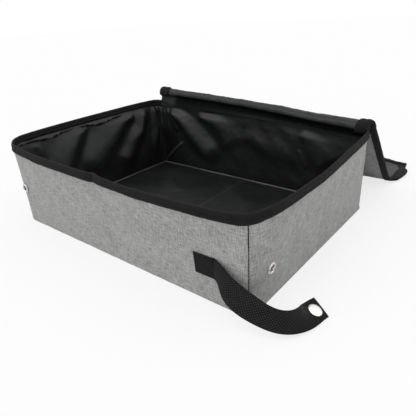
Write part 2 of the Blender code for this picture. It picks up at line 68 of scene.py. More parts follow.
# Sizes in metres.  Those of the tray are taken from the solid model.
half_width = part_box("back_shell")[1].x
half_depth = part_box("back_shell")[1].y
rim_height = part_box("back_rim_binding")[1].z
wall_foot = 0.0002
corner_reach = 0.010
floor_reach = half_width - 0.0040
floor_height = 0.0050
flat_side = 0.199
cloth_thickness = 0.0010
satin_thickness = 0.0006
board_thickness = 0.0020
# How deep the lining and the rim tape's inside lie in the wall, and how far the tape stands off
lining_depth = 0.0036
tape_inside = lining_depth - 0.0012
tape_stand = 0.0013
thread_stand = 0.0001

# Corners, front left first, then anticlockwise seen from above.  Each wall starts at its corner.
wall_names = ("front", "right", "back", "left")
wall_starts = np.array(((-1, -1), (1, -1), (1, 1), (-1, 1))) * (half_width, half_depth)
wall_runs = np.array(((1, 0), (0, 1), (-1, 0), (0, -1)), float)
wall_outs = np.array(((0, -1), (1, 0), (0, 1), (-1, 0)), float)
wall_lengths = np.array((2 * half_width, 2 * half_depth) * 2)
corner_places = np.concatenate(((0,), np.cumsum(wall_lengths)))
girth = corner_places[-1]

# The same corners and the folds of the walls, as distances round the tray from the first corner
right_start, right_crease, back_start, back_middle = 0.400, 0.550, 0.700, 0.900
left_start, left_crease, left_end = 1.100, 1.250, 1.400
wall_creases = (200, 550, 900, 1250)
wall_seams = (0, 400, 700, 1100, 1400)

# How far each rim stands out of its wall's plane, in millimetres at a distance along the wall
rim_bulges = (
    ((0, 0), (8, 0.3), (24, 0.9), (69, 3.2), (103, 2.4), (139, 1.4), (171, 1.2), (186, 0.4),
     (193, -1.6), (200, 0.8), (224, 3.8), (255, 6.4), (289, 7.8), (320, 8.5), (345, 8.6),
     (365, 7.8), (375, 7.2), (384, 6.2), (391, 4.5), (400, 0)),
    ((0, 0), (5, 2.8), (10, 5.2), (16, 7.2), (23, 9.3), (33, 11.4), (49, 12.8), (65, 13.5),
     (85, 14.1), (105, 14.9), (125, 15.2), (140, 14.3), (169, 12.4), (200, 9.9), (236, 7.4),
     (265, 4.8), (288, 2.0), (300, 0)),
    ((0, 0), (200, 0), (400, 0)),
    ((0, 0), (7, 5.5), (16, 9.5), (30, 12.0), (60, 14.5), (100, 15.5), (150, 16.5), (200, 17.2),
     (240, 17.6), (268, 17.2), (282, 15.6), (291, 12.0), (296, 7.0), (300, 0)),
)
# How far the rim is lifted above its height, in millimetres at a distance round the tray
rim_lifts = ((0, 0.5), (20, 0), (700, 0), (1035, 0.3), (1060, 2.0), (1085, 7.0), (1100, 8.6),
             (1130, 8.8), (1200, 8.6), (1280, 8.0), (1330, 7.2), (1365, 6.2), (1384, 5.0),
             (1393, 3.2), (1400, 0.6))
# Lower edge of the loose fold under the left rim tape, in millimetres below the rim
left_lip_drops = ((0, 9), (44, 5), (68, 10), (104, 13), (143, 17), (177, 12), (209, 13),
                  (233, 16), (261, 13.5), (285, 12), (300, 9))

# Folds of the loose lining on each wall, as (places along and up, height, half width on its
# light side, half width on its dark side).  Along is on the wall's own axis, all in millimetres.
lining_folds = {
    "left": (
        (((-14, 118), (-30, 104), (-54, 82), (-76, 58), (-92, 34), (-98, 18)), 9.0, 16, 13),
        (((92, 112), (60, 97), (39, 82), (14, 67), (-8, 53), (-38, 34)), 9.4, 21, 15),
        (((106, 118), (105, 95), (95, 75), (68, 59), (51, 32), (40, 18)), 10.4, 16, 12),
        (((-112, 108), (-106, 72), (-92, 28)), 4.0, 11, 7),
        (((140, 112), (134, 70), (122, 24)), 3.2, 7, 4.5),
    ),
    "back": (
        (((-168, 118), (-148, 96), (-126, 74), (-97, 51), (-60, 26)), 11.5, 20, 12),
        (((-100, 112), (-68, 99), (-44, 78), (-26, 52)), 7.0, 22, 13),
        (((-178, 112), (-166, 92), (-156, 68)), 2.6, 4.5, 4),
        (((-198, 5), (-178, 20), (-143, 53)), 3.6, 2.4, 2.4),
        (((96, 106), (114, 93), (126, 77), (146, 50)), 5.6, 20, 12),
        (((-10, 86), (24, 74), (60, 64), (104, 60)), 4.2, 23, 15),
        (((98, 76), (104, 66), (112, 44)), 2.0, 5, 3),
    ),
    "front": (
        (((-154, 110), (-112, 74), (-62, 28)), 6.6, 14, 9),
        (((8, 108), (0, 76), (-18, 40)), 4.8, 12, 7.5),
        (((150, 112), (108, 72), (62, 26)), 6.8, 14, 9),
        (((-60, 110), (-40, 84), (-34, 60)), 3.6, 11, 7),
        (((86, 108), (72, 88), (40, 62)), 3.6, 11, 7),
    ),
    "right": (
        (((-110, 112), (-80, 78), (-34, 34)), 6.4, 13, 8.5),
        (((92, 112), (74, 78), (40, 36)), 6.2, 13, 8.5),
        (((0, 100), (2, 62), (8, 34)), 4.0, 11, 7),
        (((132, 108), (124, 66), (112, 26)), 3.8, 9, 5.5),
    ),
}

# Pleats of the lining at the back left corner, as (place, height, half width) in millimetres
corner_pleats = ((-24, 3.4, 3.2), (-15, 2.6, 2.4), (-5, 2.2, 2.6), (5, 2.2, 2.8), (14, 3.0, 3.0))

# Faint folds of the floor's satin, as (places, height, half width) in millimetres
floor_folds = (
    (((-150, 120), (-110, 70), (-60, 40)), 4.0, 9.0),
    (((-40, 130), (10, 90), (70, 60)), 3.4, 9.0),
    (((110, 120), (80, 70), (90, 20)), 3.2, 9.0),
    (((-120, -20), (-60, -60), (0, -110)), 3.4, 9.0),
    (((60, -20), (100, -70), (150, -100)), 3.2, 9.0),
)

# Heights along the lid's length in millimetres: the ridge's top, and the lower edges of the roll
# and of the strip
ridge_tops = ((-200, 147.5), (-161, 146.5), (-110, 145), (-57, 142), (35, 138), (94, 133),
              (147, 130), (202, 128))
roll_bottoms = ((-202, 135.5), (-132, 134), (-54, 130.8), (19, 126.4), (96, 121), (179, 114),
                (202, 112))
strip_bottoms = ((-202, 116.5), (-54, 116), (19, 114), (96, 109.5), (179, 104), (202, 103))
# Sizes of the lid in metres.  Its foot is where the slope meets the ground behind the tray.
ridge_radius = 0.0072
strip_front = 0.1508
strip_lean = 0.0022
strip_foot = (0.1464, 0.1165)
foot_bend = 0.010
lid_half_width = 0.202
lid_thickness = 0.0039
lid_foot = (0.2660, 0.0060)
lid_end = 0.3680
# How far the lid's sides stand beyond its half width in millimetres, along its run
side_flares = ((0, -5.5), (1.5, -5.0), (2.1, -0.8), (2.6, 0.8), (3.0, 2.4), (3.7, 7.5),
               (4.17, 14.4), (4.46, 15.4), (4.62, 13.6), (4.74, 7.0), (4.82, 3.4), (4.91, 4.0),
               (5.0, 5.6))
# Length of cloth in metres from the rim to each whole number of the lid's run
run_places = np.arange(6.0)
run_lengths = np.array((0, 0.028, 0.044, 0.186, 0.204, 0.296))

# Turns of the strap as (share of its length, heading, dip, lean) with angles in degrees
strap_turns = (
    (0.00, -9, 0, 0), (0.02, -14, -8, -4), (0.06, -26, -22, -2), (0.12, -30, -32, 10),
    (0.20, -14, -24, 30), (0.28, -3, -16, 34), (0.36, 2, -15, 29), (0.44, 5, -18, 14),
    (0.52, 22, -17, 6), (0.60, 47, -14, 3), (0.67, 71, -12, 10), (0.74, 86, -18, 20),
    (0.80, 92, -27, 36), (0.86, 97, -26, 64), (0.92, 89, -4, 73), (1.00, 63, 0, 74),
)
strap_length = 0.151
strap_width = 0.025
strap_thickness = 0.0014
strap_root = (0.160, -0.15202, 0.0465)
strap_landing = 0.0049
strap_steps = 60
snap_share = 1 - 0.0105 / strap_length
# The sewn tab: where it starts round the tray, its length, and the corners of its box stitch
tab_start = 0.3348
tab_length = 0.0250
tab_corners = ((0.0025, -0.0100), (0.0215, -0.0100), (0.0215, 0.0100), (0.0025, 0.0100))

# Round metal parts as outlines of (radius, height over their base)
snap_stand = strap_thickness / 2 + 0.0003
cap_dome = [(0.0075 * math.sin(a), snap_stand + 0.0006 + 0.0013 * math.cos(a))
            for a in np.linspace(0, math.pi / 2, 14)]
cap_outline = (*cap_dome, (0.0075, snap_stand + 0.0003), (0.0072, snap_stand),
               (0.0022, snap_stand), (0.0022, -snap_stand - 0.0007), (0, -snap_stand - 0.0007))
socket_outline = tuple(
    (radius, -snap_stand - drop) for radius, drop in
    ((0.0050, 0), (0.0054, 0.0004), (0.0055, 0.0016), (0.0050, 0.0022), (0.0028, 0.0022),
     (0.0025, 0.0018), (0.0025, 0), (0.0050, 0)))
stud_outline = (
    (0, 0.0030), (0.0008, 0.0032), (0.0016, 0.0036), (0.0022, 0.0033), (0.0024, 0.0027),
    (0.0021, 0.0018), (0.0020, 0.0006), (0.0036, 0.0005), (0.0043, 0.0007), (0.0046, 0.0016),
    (0.0051, 0.0020), (0.0058, 0.0018), (0.0062, 0.0011), (0.0067, 0.0009), (0.0070, 0.0006),
    (0.0070, 0.0002), (0.0018, 0.0002), (0.0018, -0.0014), (0, -0.0014),
)
eyelet_outline = ((0.0019, 0.0006), (0.0050, 0.0006), (0.0055, 0.0003), (0.0055, 0), (0.0019, 0),
                  (0.0019, 0.0006))


# ---- Settings ----
def colour_setting(name, colour, description):
    """A colour that a user would change."""
    return bpy.props.FloatVectorProperty(
        name=name, description=description, subtype="COLOR", size=3, min=0, max=1, default=colour
    )


class LitterBoxColours(bpy.types.PropertyGroup):
    """Colours of the cloth, lining, tape, webbing and snaps."""

    linen: colour_setting("Linen", (0.334, 0.334, 0.330), "Outer cloth of the tray and lid")
    satin: colour_setting("Satin", (0.0078, 0.0086, 0.0084), "Loose lining of the tray and lid")
    tape: colour_setting("Tape", (0.0080, 0.0086, 0.0080), "Binding tape on the rim and lid")
    webbing: colour_setting("Webbing", (0.0080, 0.0086, 0.0084), "Strap and its sewn tab")
    board: colour_setting("Board", (0.42, 0.41, 0.38), "Stiffening board inside the walls")
    snap: colour_setting("Snap", (0.80, 0.78, 0.74), "Plated snap cap, socket and studs")


def share_setting(name, description):
    """A share of a photographed form, one at rest."""
    return bpy.props.FloatProperty(name=name, description=description, default=1.0, min=0.0,
                                   max=1.2, subtype="FACTOR")


def length_setting(name, description, default, low, high):
    """A length in metres that a user would change."""
    return bpy.props.FloatProperty(name=name, description=description, default=default, min=low,
                                   max=high, unit="LENGTH")


class LitterBoxSizes(bpy.types.PropertyGroup):
    """Sizes of the soft parts that a user would change."""

    bulge: share_setting("Bulge", "Share of the photographed bulge of the rims")
    fold: share_setting("Folds", "Share of the photographed height of the lining's folds")
    tape_drop: length_setting("Tape height", "Height of the rim tape on the outside",
                              0.011, 0.006, 0.016)
    stitch_pitch: length_setting("Stitch pitch", "Distance from one stitch to the next",
                                 0.0036, 0.002, 0.008)


def sizes():
    """The sizes as they are set in the sidebar."""
    return bpy.context.scene.litter_box_sizes


def colours():
    """The colours as they are set in the sidebar."""
    return bpy.context.scene.litter_box_colours


# ---- Shapes as functions of a place round the tray ----
def smooth_step(value):
    """Eases from 0 to 1, and stays there outside."""
    value = np.clip(value, 0, 1)
    return value * value * (3 - 2 * value)


def between(first, last, share):
    """A value at a share of the way from the first to the last."""
    return first + (last - first) * share


def bell(gap, width):
    """One in the middle, falling to nothing some widths away."""
    return np.exp(-(gap / width) ** 2)


def unit(vectors):
    """Directions brought to length one."""
    return vectors / np.linalg.norm(vectors, axis=1)[:, None]


def curve(points, place):
    """A smooth line through (place, value) points."""
    known, values = np.array(points, float).T
    slopes = np.gradient(values, known)
    index = np.clip(np.searchsorted(known, place) - 1, 0, len(known) - 2)
    run = known[index + 1] - known[index]
    t = np.clip((place - known[index]) / run, 0, 1)
    first = values[index] * (1 + 2 * t) + run * slopes[index] * t
    last = values[index + 1] * (3 - 2 * t) - run * slopes[index + 1] * (1 - t)
    return first * (1 - t) ** 2 + last * t * t


def ripple(x, y, length, seed):
    """Smooth uneven waves between about -1 and 1, about one length apart."""
    chance = np.random.default_rng(seed)
    total = np.zeros(np.broadcast(x, y).shape)
    for _ in range(12):
        angle, phase = chance.uniform(0, 2 * math.pi, 2)
        rate = 2 * math.pi / length * chance.uniform(0.6, 1.5)
        total += np.sin((x * math.cos(angle) + y * math.sin(angle)) * rate + phase)
    return total / 5


def rim_top(place):
    """Height of the rim at a place round the tray."""
    return rim_height + curve(rim_lifts, np.mod(place, girth) * 1000) / 1000


def wall_line(wall, along, height, top):
    """Plan place of a wall's outer face."""
    share = np.clip(height / top, 0, 1.05)
    if wall == 0:
        across = along / half_width - 1
        low = 0.0095 * np.maximum(1 - across * across, 0) * share ** 1.3
        bulge = low + curve(rim_bulges[0], along * 1000) / 1000 * share ** 3.2 * sizes().bulge
    else:
        power = 1.35 if wall == 1 else 1.7
        bulge = curve(rim_bulges[wall], along * 1000) / 1000 * share ** power * sizes().bulge
    step = wall_starts[wall][:, None] + wall_runs[wall][:, None] * along
    return step + wall_outs[wall][:, None] * bulge


def corner_gap(place, corner):
    """Distance round the tray from a corner, less than zero before it."""
    return np.mod(place - corner_places[corner] + girth / 2, girth) - girth / 2


def wall_plan(place, height, reach=corner_reach):
    """Plan place of the tray's outer face, rounded at its corners."""
    place = np.mod(place, girth)
    height, reach, place = np.broadcast_arrays(height, reach, place)
    top = rim_top(place)
    plan = np.zeros((2, place.size))
    for wall in range(4):
        start, end = corner_places[wall:wall + 2]
        inside = (place >= start) & (place <= end)
        plan[:, inside] = wall_line(wall, place[inside] - start, height[inside], top[inside])
    for corner in range(4):
        gap = corner_gap(place, corner)
        near = np.abs(gap) < reach
        if not near.any():
            continue
        before, size, high, level = (corner - 1) % 4, reach[near], height[near], top[near]
        length = wall_lengths[before]
        step = 0.0005
        a = wall_line(before, length - size, high, level)
        a_run = (a - wall_line(before, length - size - step, high, level)) / step
        b = wall_line(corner, size, high, level)
        b_run = (wall_line(corner, size + step, high, level) - b) / step
        gap_x, gap_y = b - a
        cross = a_run[0] * b_run[1] - a_run[1] * b_run[0]
        turn = a + a_run * (gap_x * b_run[1] - gap_y * b_run[0]) / cross
        t = (gap[near] + size) / (2 * size)
        plan[:, near] = a * (1 - t) ** 2 + turn * 2 * t * (1 - t) + b * t * t
    return plan


def wall_point(place, height, depth=0.0, reach=corner_reach):
    """A point at a depth inside the tray's outer face."""
    step = 0.0004
    height = np.broadcast_to(height, np.shape(place))
    plan = wall_plan(place, height, reach)
    run = wall_plan(place + step, height, reach) - wall_plan(place - step, height, reach)
    run /= np.linalg.norm(run, axis=0)
    return np.stack((plan[0] - run[1] * depth, plan[1] + run[0] * depth, height), axis=1)


def wall_out(place, height):
    """Outward direction of the wall at each place, with its lean."""
    step = 0.0006
    along = wall_point(place + step, height) - wall_point(place - step, height)
    up = wall_point(place, height + step) - wall_point(place, height - step)
    return unit(np.cross(along, up))


def wall_stitches(place, height, depth, step, sign=1):
    """Middles, directions and outward sides of stitches on a wall.  Step leads to the next."""
    middles = wall_point(place, height, depth)
    runs = unit(wall_point(place + step[0], height + step[1], depth) - middles)
    return middles, runs, wall_out(place, height) * sign


def path_gap(path, x, y):
    """Distance from a line of points, and the share along it."""
    path = np.array(path, float)
    lengths = np.linalg.norm(np.diff(path, axis=0), axis=1)
    starts = np.concatenate(((0,), np.cumsum(lengths)))
    best, share, side = np.full(x.shape, 1e9), np.zeros(x.shape), np.zeros(x.shape)
    for index, length in enumerate(lengths):
        run = (path[index + 1] - path[index]) / length
        dx, dy = x - path[index][0], y - path[index][1]
        t = np.clip(dx * run[0] + dy * run[1], 0, length)
        gap = np.hypot(dx - run[0] * t, dy - run[1] * t)
        closer = gap < best
        best = np.where(closer, gap, best)
        share = np.where(closer, (starts[index] + t) / starts[-1], share)
        side = np.where(closer, dx * run[1] - dy * run[0], side)
    return best, share, side


def left_share(place):
    """One along the left wall, where the loose lining hides less of the rim tape."""
    along = np.mod(place, girth) - corner_places[3]
    return smooth_step((along - 0.012) / 0.02) * smooth_step((0.290 - along) / 0.02)


def free_top(place):
    """Height up to which the lining is free: below the rim tape, and behind below the strip."""
    x = back_middle - np.mod(place, girth)
    behind = smooth_step((half_width + 0.004 - np.abs(x)) / 0.008)
    below = rim_top(place) - 0.0075 - 0.0016 * left_share(place)
    return between(below, curve(strip_bottoms, x * 1000) / 1000 - 0.0008, behind)


def wall_folds(wall, along, height, top):
    """How far the lining's folds stand off one wall, in millimetres."""
    name, length = wall_names[wall], wall_lengths[wall]
    x = (along - length / 2) * 1000 * (1 if name in ("front", "right") else -1)
    y = height * 1000
    stretch = y / (top / rim_height)
    wave_x = x + 3.5 * ripple(x, y, 60, wall + 3)
    folds = np.zeros(along.shape)
    for path, high, light, dark in lining_folds[name]:
        gap, share, side = path_gap(path, wave_x, stretch)
        width = np.where((side > 0) == (name != "back"), light, dark) * (0.62 + 0.75 * share)
        ends = smooth_step(share / 0.12) * smooth_step((1 - share) / 0.2)
        furrow = bell(gap - 1.9 * width, 0.8 * width)
        folds += 0.85 * high * ends * (bell(gap, width) - 0.12 * furrow)
    folds += 0.8 * ripple(x + 0.6 * y, y * 0.7, 44, wall + 11)
    folds += 0.12 * ripple(x, y, 15, wall + 21) + 1.0
    if name == "back":
        folds += 0.9 * bell(x - 20, 1.3)
    from_corner = np.minimum(along, length - along) * 1000
    return np.maximum(np.minimum(folds, 0.4 + 0.34 * from_corner), 0.1)


def lining_fold(place, height):
    """How far the loose lining stands into the tray."""
    place = np.mod(place, girth)
    top, free = rim_top(place), free_top(place)
    folds, pleats = np.zeros(place.shape), np.zeros(place.shape)
    for wall in range(4):
        start, end = corner_places[wall:wall + 2]
        inside = (place >= start) & (place <= end)
        if inside.any():
            folds[inside] = wall_folds(wall, place[inside] - start, height[inside], top[inside])
    gap = corner_gap(place, 3) * 1000
    for middle, high, wide in corner_pleats:
        bend = middle + (0.112 - height) * 90 * (0.6 if middle < 0 else -0.3)
        pleats += high * bell(gap - bend, wide)
    folds += pleats * smooth_step((height - 0.035) / 0.07)
    folds = folds * smooth_step((height - 0.004) / 0.016) * smooth_step((free - height) / 0.013)
    left = np.clip((place - corner_places[3]) * 1000, 0, 300)
    lip = smooth_step((height - top + curve(left_lip_drops, left) / 1000) / 0.0016)
    lip *= smooth_step((free - height) / 0.0016) * (place >= corner_places[3])
    return folds / 1000 * sizes().fold + lip * 0.0046


def rim_pinch(place, height):
    """How much thinner the wall is near its rim, above the boards."""
    share = smooth_step((np.abs(np.mod(place, girth) - back_middle) - 0.180) / 0.02)
    return 0.0018 * share * smooth_step((0.016 - (rim_top(place) - height)) / 0.010)


def lining_reach(height):
    """How wide the lining rounds a corner: wider below the rim."""
    return corner_reach + 0.007 * smooth_step((rim_height - 0.014 - height) / 0.03)


# ---- Lid as a surface over its width and its run from the rim to the free edge ----
def lid_point(across, run, depth=0.0):
    """A point of the lid.  Run is 0-1 on the strip, 1-2 round the ridge, 2-3 down the slope,
    3-4 round the foot and 4-5 along the flap.  Depth is measured from the satin side."""
    across, run, depth = np.broadcast_arrays(across, run, depth)
    across = np.where(across < 0, across * 0.982, across)
    x = np.clip(across, -half_width, half_width) * 1000
    strip, ridge, slope, foot = (np.clip(run - start, 0, 1) for start in range(4))

    # The roll's middle, and the turn at which the slope leaves it and runs straight to the foot
    top = curve(ridge_tops, x) / 1000 + 0.0006 * ripple(x, 0 * x, 45, 5)
    centre_y, centre_z = strip_front - strip_lean + ridge_radius, top - ridge_radius
    foot_y, foot_z = lid_foot[0] + 0.0012 * ripple(x, 0 * x, 150, 8), lid_foot[1]
    gap_y, gap_z = foot_y - centre_y, foot_z - centre_z
    span = np.hypot(gap_y, gap_z)
    end_turn = np.arctan2(gap_z, gap_y) + np.arccos(ridge_radius / span)
    down_y, down_z = np.sin(end_turn), -np.cos(end_turn)
    length = np.sqrt(span * span - ridge_radius ** 2)

    # The satin side of the strip leans back under the roll, and the linen side is upright
    inner = np.clip(1 - depth / lid_thickness, 0, 1.3)
    low, roll = curve(strip_bottoms, x) / 1000, curve(roll_bottoms, x) / 1000
    shift = smooth_step((x + 20) / 180)
    recess, front = 0.1510 - 0.0050 * shift, strip_front - 0.0030 - 0.0038 * shift
    front_z = roll + 0.30 * (top - roll)
    left = smooth_step((-x - 15) / 40)
    room = 0.0034 * left * smooth_step(depth / 0.003) * smooth_step((1 - strip) / 0.2)
    plain_y = strip_front - strip_lean * smooth_step((strip - 0.45) / 0.55) + room
    plain_z = between(strip_foot[1], centre_z, strip)
    tuck = np.clip(2 - 2 * strip, 0, 1) * math.pi / 2
    crease = -0.0006 * np.abs(ripple(x, 8 * strip, 24, 15))
    crease = crease * np.sin(np.clip(strip * 2, 0, 1) * math.pi)
    lined_y = np.where(
        strip < 0.5, between(strip_foot[0], recess, smooth_step(strip / 0.5)) + crease,
        between(front, recess, 1 - np.cos(tuck)))
    lined_z = np.where(strip < 0.5, between(low, roll, np.clip(strip / 0.5, 0, 1)),
                       front_z - (front_z - roll) * np.sin(tuck))
    flat = np.minimum(inner, 1)
    strip_y, strip_z = between(plain_y, lined_y, inner), between(plain_z, lined_z, flat)

    # Round the ridge the satin side bulges ahead of the roll
    angle = between(math.pi, end_turn, ridge)
    cos, sin, ahead = np.cos(angle), np.sin(angle), angle > math.pi / 2
    plain_y, plain_z = centre_y + ridge_radius * cos, centre_z + ridge_radius * sin
    lined_y = np.where(ahead, centre_y + (centre_y - front) * cos, plain_y)
    lined_z = np.where(ahead, front_z + (top - front_z) * sin, plain_z)
    ridge_y, ridge_z = between(plain_y, lined_y, inner), between(plain_z, lined_z, flat)

    down = slope * (length - foot_bend)
    slope_y = centre_y + ridge_radius * np.cos(end_turn) + down_y * down
    slope_z = centre_z + ridge_radius * np.sin(end_turn) + down_z * down
    bend_y = foot_y - down_y * foot_bend * (1 - foot) ** 2 + foot_bend * foot * foot
    bend_z = foot_z - down_z * foot_bend * (1 - foot) ** 2
    end_y = lid_end - 0.012 * smooth_step((x - 155) / 47)
    flap_y = foot_y + foot_bend + (end_y - foot_y - foot_bend) * (run - 4)
    parts = [run <= end for end in (1, 2, 3, 4)]
    y = np.select(parts, (strip_y, ridge_y, slope_y, bend_y), flap_y)
    z = np.select(parts, (strip_z, ridge_z, slope_z, bend_z), foot_z)
    turn = np.select(parts, (math.pi, angle, end_turn, between(end_turn, math.pi / 2, foot)),
                     math.pi / 2)

    # Uneven swelling, and the slope's sag on the left
    swell = 0.0012 * ripple(x, run * 60, 95, 14) * smooth_step((run - 2) / 0.2)
    swell = swell * smooth_step((5 - run) / 0.3)
    swell = np.where(run > 3.4, np.abs(swell) * 0.9, swell)
    sag = 0.0072 * left * smooth_step((run - 2) / 0.08) * smooth_step((2.5 - run) / 0.25)
    out = swell - depth - sag
    z = np.maximum(z + np.sin(turn) * out, 0.0007 - 0.0004 * smooth_step(depth / 0.004))
    return np.stack((across, y + np.cos(turn) * out, z), axis=1)


def lid_reach(run, side):
    """Distance of the lid's side edge from its middle.  Its left side flares less."""
    flare = curve(side_flares, run) / 1000
    return lid_half_width + np.where(np.asarray(side) < 0, np.minimum(flare, 0.25 * flare), flare)


def run_length(run):
    """Length of cloth from the rim to a place on the lid."""
    return np.interp(run, run_places, run_lengths)


def spread_run(first, last, share):
    """Places on the lid with even lengths of cloth between them."""
    return np.interp(between(*run_length((first, last)), share), run_lengths, run_places)


def lid_stitches(x, run, depth, side):
    """Middles, directions and outward sides of stitches down the lid."""
    middles = lid_point(x, run, depth)
    runs = unit(lid_point(x, run + 0.01, depth) - lid_point(x, run - 0.01, depth))
    return middles, runs, unit(lid_point(x, run, depth - 0.001) - middles) * side


# ---- Modelling ----
def clear_selection():
    """Goes back to object mode with nothing selected."""
    if bpy.context.object and bpy.context.object.mode != "OBJECT":
        bpy.ops.object.mode_set(mode="OBJECT")
    bpy.ops.object.select_all(action="DESELECT")


def make_active(piece):
    """Selects one piece and nothing else."""
    clear_selection()
    bpy.context.view_layer.objects.active = piece
    piece.select_set(True)


def apply_modifier(piece, name, kind, **settings):
    """Adds a modifier to a piece and applies it."""
    make_active(piece)
    modifier = piece.modifiers.new(name, kind)
    for key, value in settings.items():
        setattr(modifier, key, value)
    bpy.ops.object.modifier_apply(modifier=name)


def shade(piece, sharp):
    """Smooth shading, with an edge where faces meet at more than sharp degrees."""
    make_active(piece)
    bpy.ops.object.shade_smooth_by_angle(angle=math.radians(sharp))


def linked(name, mesh):
    """A new piece of a mesh, in view and active."""
    piece = bpy.data.objects.new(name, mesh)
    bpy.context.collection.objects.link(piece)
    make_active(piece)
    return piece


def sheet(name, steps, place, material, thickness, sharp=50):
    """A cloth grid whose points are moved to place(u, v), which gives points and cloth lengths."""
    clear_selection()
    bpy.ops.mesh.primitive_grid_add(x_subdivisions=steps[0], y_subdivisions=steps[1], size=2,
                                    location=(0, 0, 0))
    piece = bpy.context.object
    piece.name = piece.data.name = name
    mesh = piece.data
    flat = np.empty(len(mesh.vertices) * 3, np.float32)
    mesh.vertices.foreach_get("co", flat)
    u, v = (flat.reshape(-1, 3)[:, :2].T.astype(float) + 1) / 2
    points, cloth = place(u, v)
    mesh.vertices.foreach_set("co", np.ascontiguousarray(points, np.float32).ravel())
    loops = np.empty(len(mesh.loops), np.int32)
    mesh.loops.foreach_get("vertex_index", loops)
    cloth = np.stack(np.broadcast_arrays(*cloth), axis=1)[loops]
    mesh.uv_layers.active.data.foreach_set("uv", np.ascontiguousarray(cloth, np.float32).ravel())
    mesh.update()
    apply_modifier(piece, "Thickness", "SOLIDIFY", thickness=thickness, offset=-1)
    shade(piece, sharp)
    mesh.materials.append(material)
    return piece


def count(length, spacing):
    """Number of steps no longer than a spacing."""
    return max(int(math.ceil(abs(length) / spacing)), 1)


def turned(name, outline, material, middle, facing):
    """A round part spun from its outline of (radius, height), set down facing a direction."""
    clear_selection()
    mesh = bpy.data.meshes.new(name)
    edges = [(index, index + 1) for index in range(len(outline) - 1)]
    mesh.from_pydata([(radius, 0, height) for radius, height in outline], edges, [])
    piece = linked(name, mesh)
    bpy.ops.object.mode_set(mode="EDIT")
    bpy.ops.mesh.select_all(action="SELECT")
    bpy.ops.mesh.spin(steps=48, angle=2 * math.pi, center=(0, 0, 0), axis=(0, 0, 1))
    bpy.ops.mesh.select_all(action="SELECT")
    bpy.ops.mesh.remove_doubles(threshold=0.00001)
    bpy.ops.mesh.normals_make_consistent(inside=False)
    bpy.ops.object.mode_set(mode="OBJECT")
    layer = mesh.uv_layers.new(name="UVMap")
    for loop in mesh.loops:
        place = mesh.vertices[loop.vertex_index].co
        layer.data[loop.index].uv = (math.hypot(place.x, place.y), place.z)
    turn = Vector((0, 0, 1)).rotation_difference(Vector(facing)).to_matrix().to_4x4()
    turn.translation = Vector(middle)
    mesh.transform(turn)
    shade(piece, 38)
    mesh.materials.append(material)
    return piece


def stitches(name, rows, length=0.0024, width=0.00055):
    """Rows of thread, each stitch a copy of one small rounded bead."""
    middles, runs, outs = (np.concatenate(parts) for parts in zip(*rows))
    clear_selection()
    bpy.ops.mesh.primitive_uv_sphere_add(segments=6, ring_count=4, radius=1)
    bead = bpy.context.object
    points = np.array([vert.co for vert in bead.data.vertices])
    faces = [tuple(face.vertices) for face in bead.data.polygons]
    points = np.stack((points[:, 2] * length / 2, points[:, 0] * width / 2,
                       points[:, 1] * width * 0.36), axis=1)
    sides = np.cross(outs, runs)
    places = (middles[:, None] + points[None, :, :1] * runs[:, None]
              + points[None, :, 1:2] * sides[:, None] + points[None, :, 2:] * outs[:, None])
    total = len(points)
    mesh = bpy.data.meshes.new(name)
    copies = [tuple(v + total * n for v in face) for n in range(len(middles)) for face in faces]
    mesh.from_pydata(places.reshape(-1, 3).tolist(), [], copies)
    bpy.data.objects.remove(bead)
    piece = linked(name, mesh)
    bpy.ops.object.mode_set(mode="EDIT")
    bpy.ops.mesh.select_all(action="SELECT")
    bpy.ops.mesh.normals_make_consistent(inside=False)
    bpy.ops.object.mode_set(mode="OBJECT")
    bpy.ops.object.shade_smooth()
    mesh.materials.append(finish("thread"))
    return piece


def stitch_line(start, end, pitch):
    """Middles of stitches between two places along a seam."""
    total = max(int((end - start) / pitch), 1)
    return start + (np.arange(total) + 0.5) * (end - start) / total


# ---- Finishes ----
class Wire:
    """A socket of a finish, from which sums and products are written as they are in numbers."""

    def __init__(self, finish, socket):
        self.finish = finish
        self.socket = socket

    def join(self, operation, *values):
        """A Math node of those values."""
        return self.finish.node("Math", dict(enumerate(values)), operation=operation)

    def __add__(self, other):
        return self.join("ADD", self, other)

    def __sub__(self, other):
        return self.join("SUBTRACT", self, other)

    def __rsub__(self, other):
        return self.join("SUBTRACT", other, self)

    def __mul__(self, other):
        return self.join("MULTIPLY", self, other)

    def __abs__(self):
        return self.join("ABSOLUTE", self)

    __radd__ = __add__
    __rmul__ = __mul__


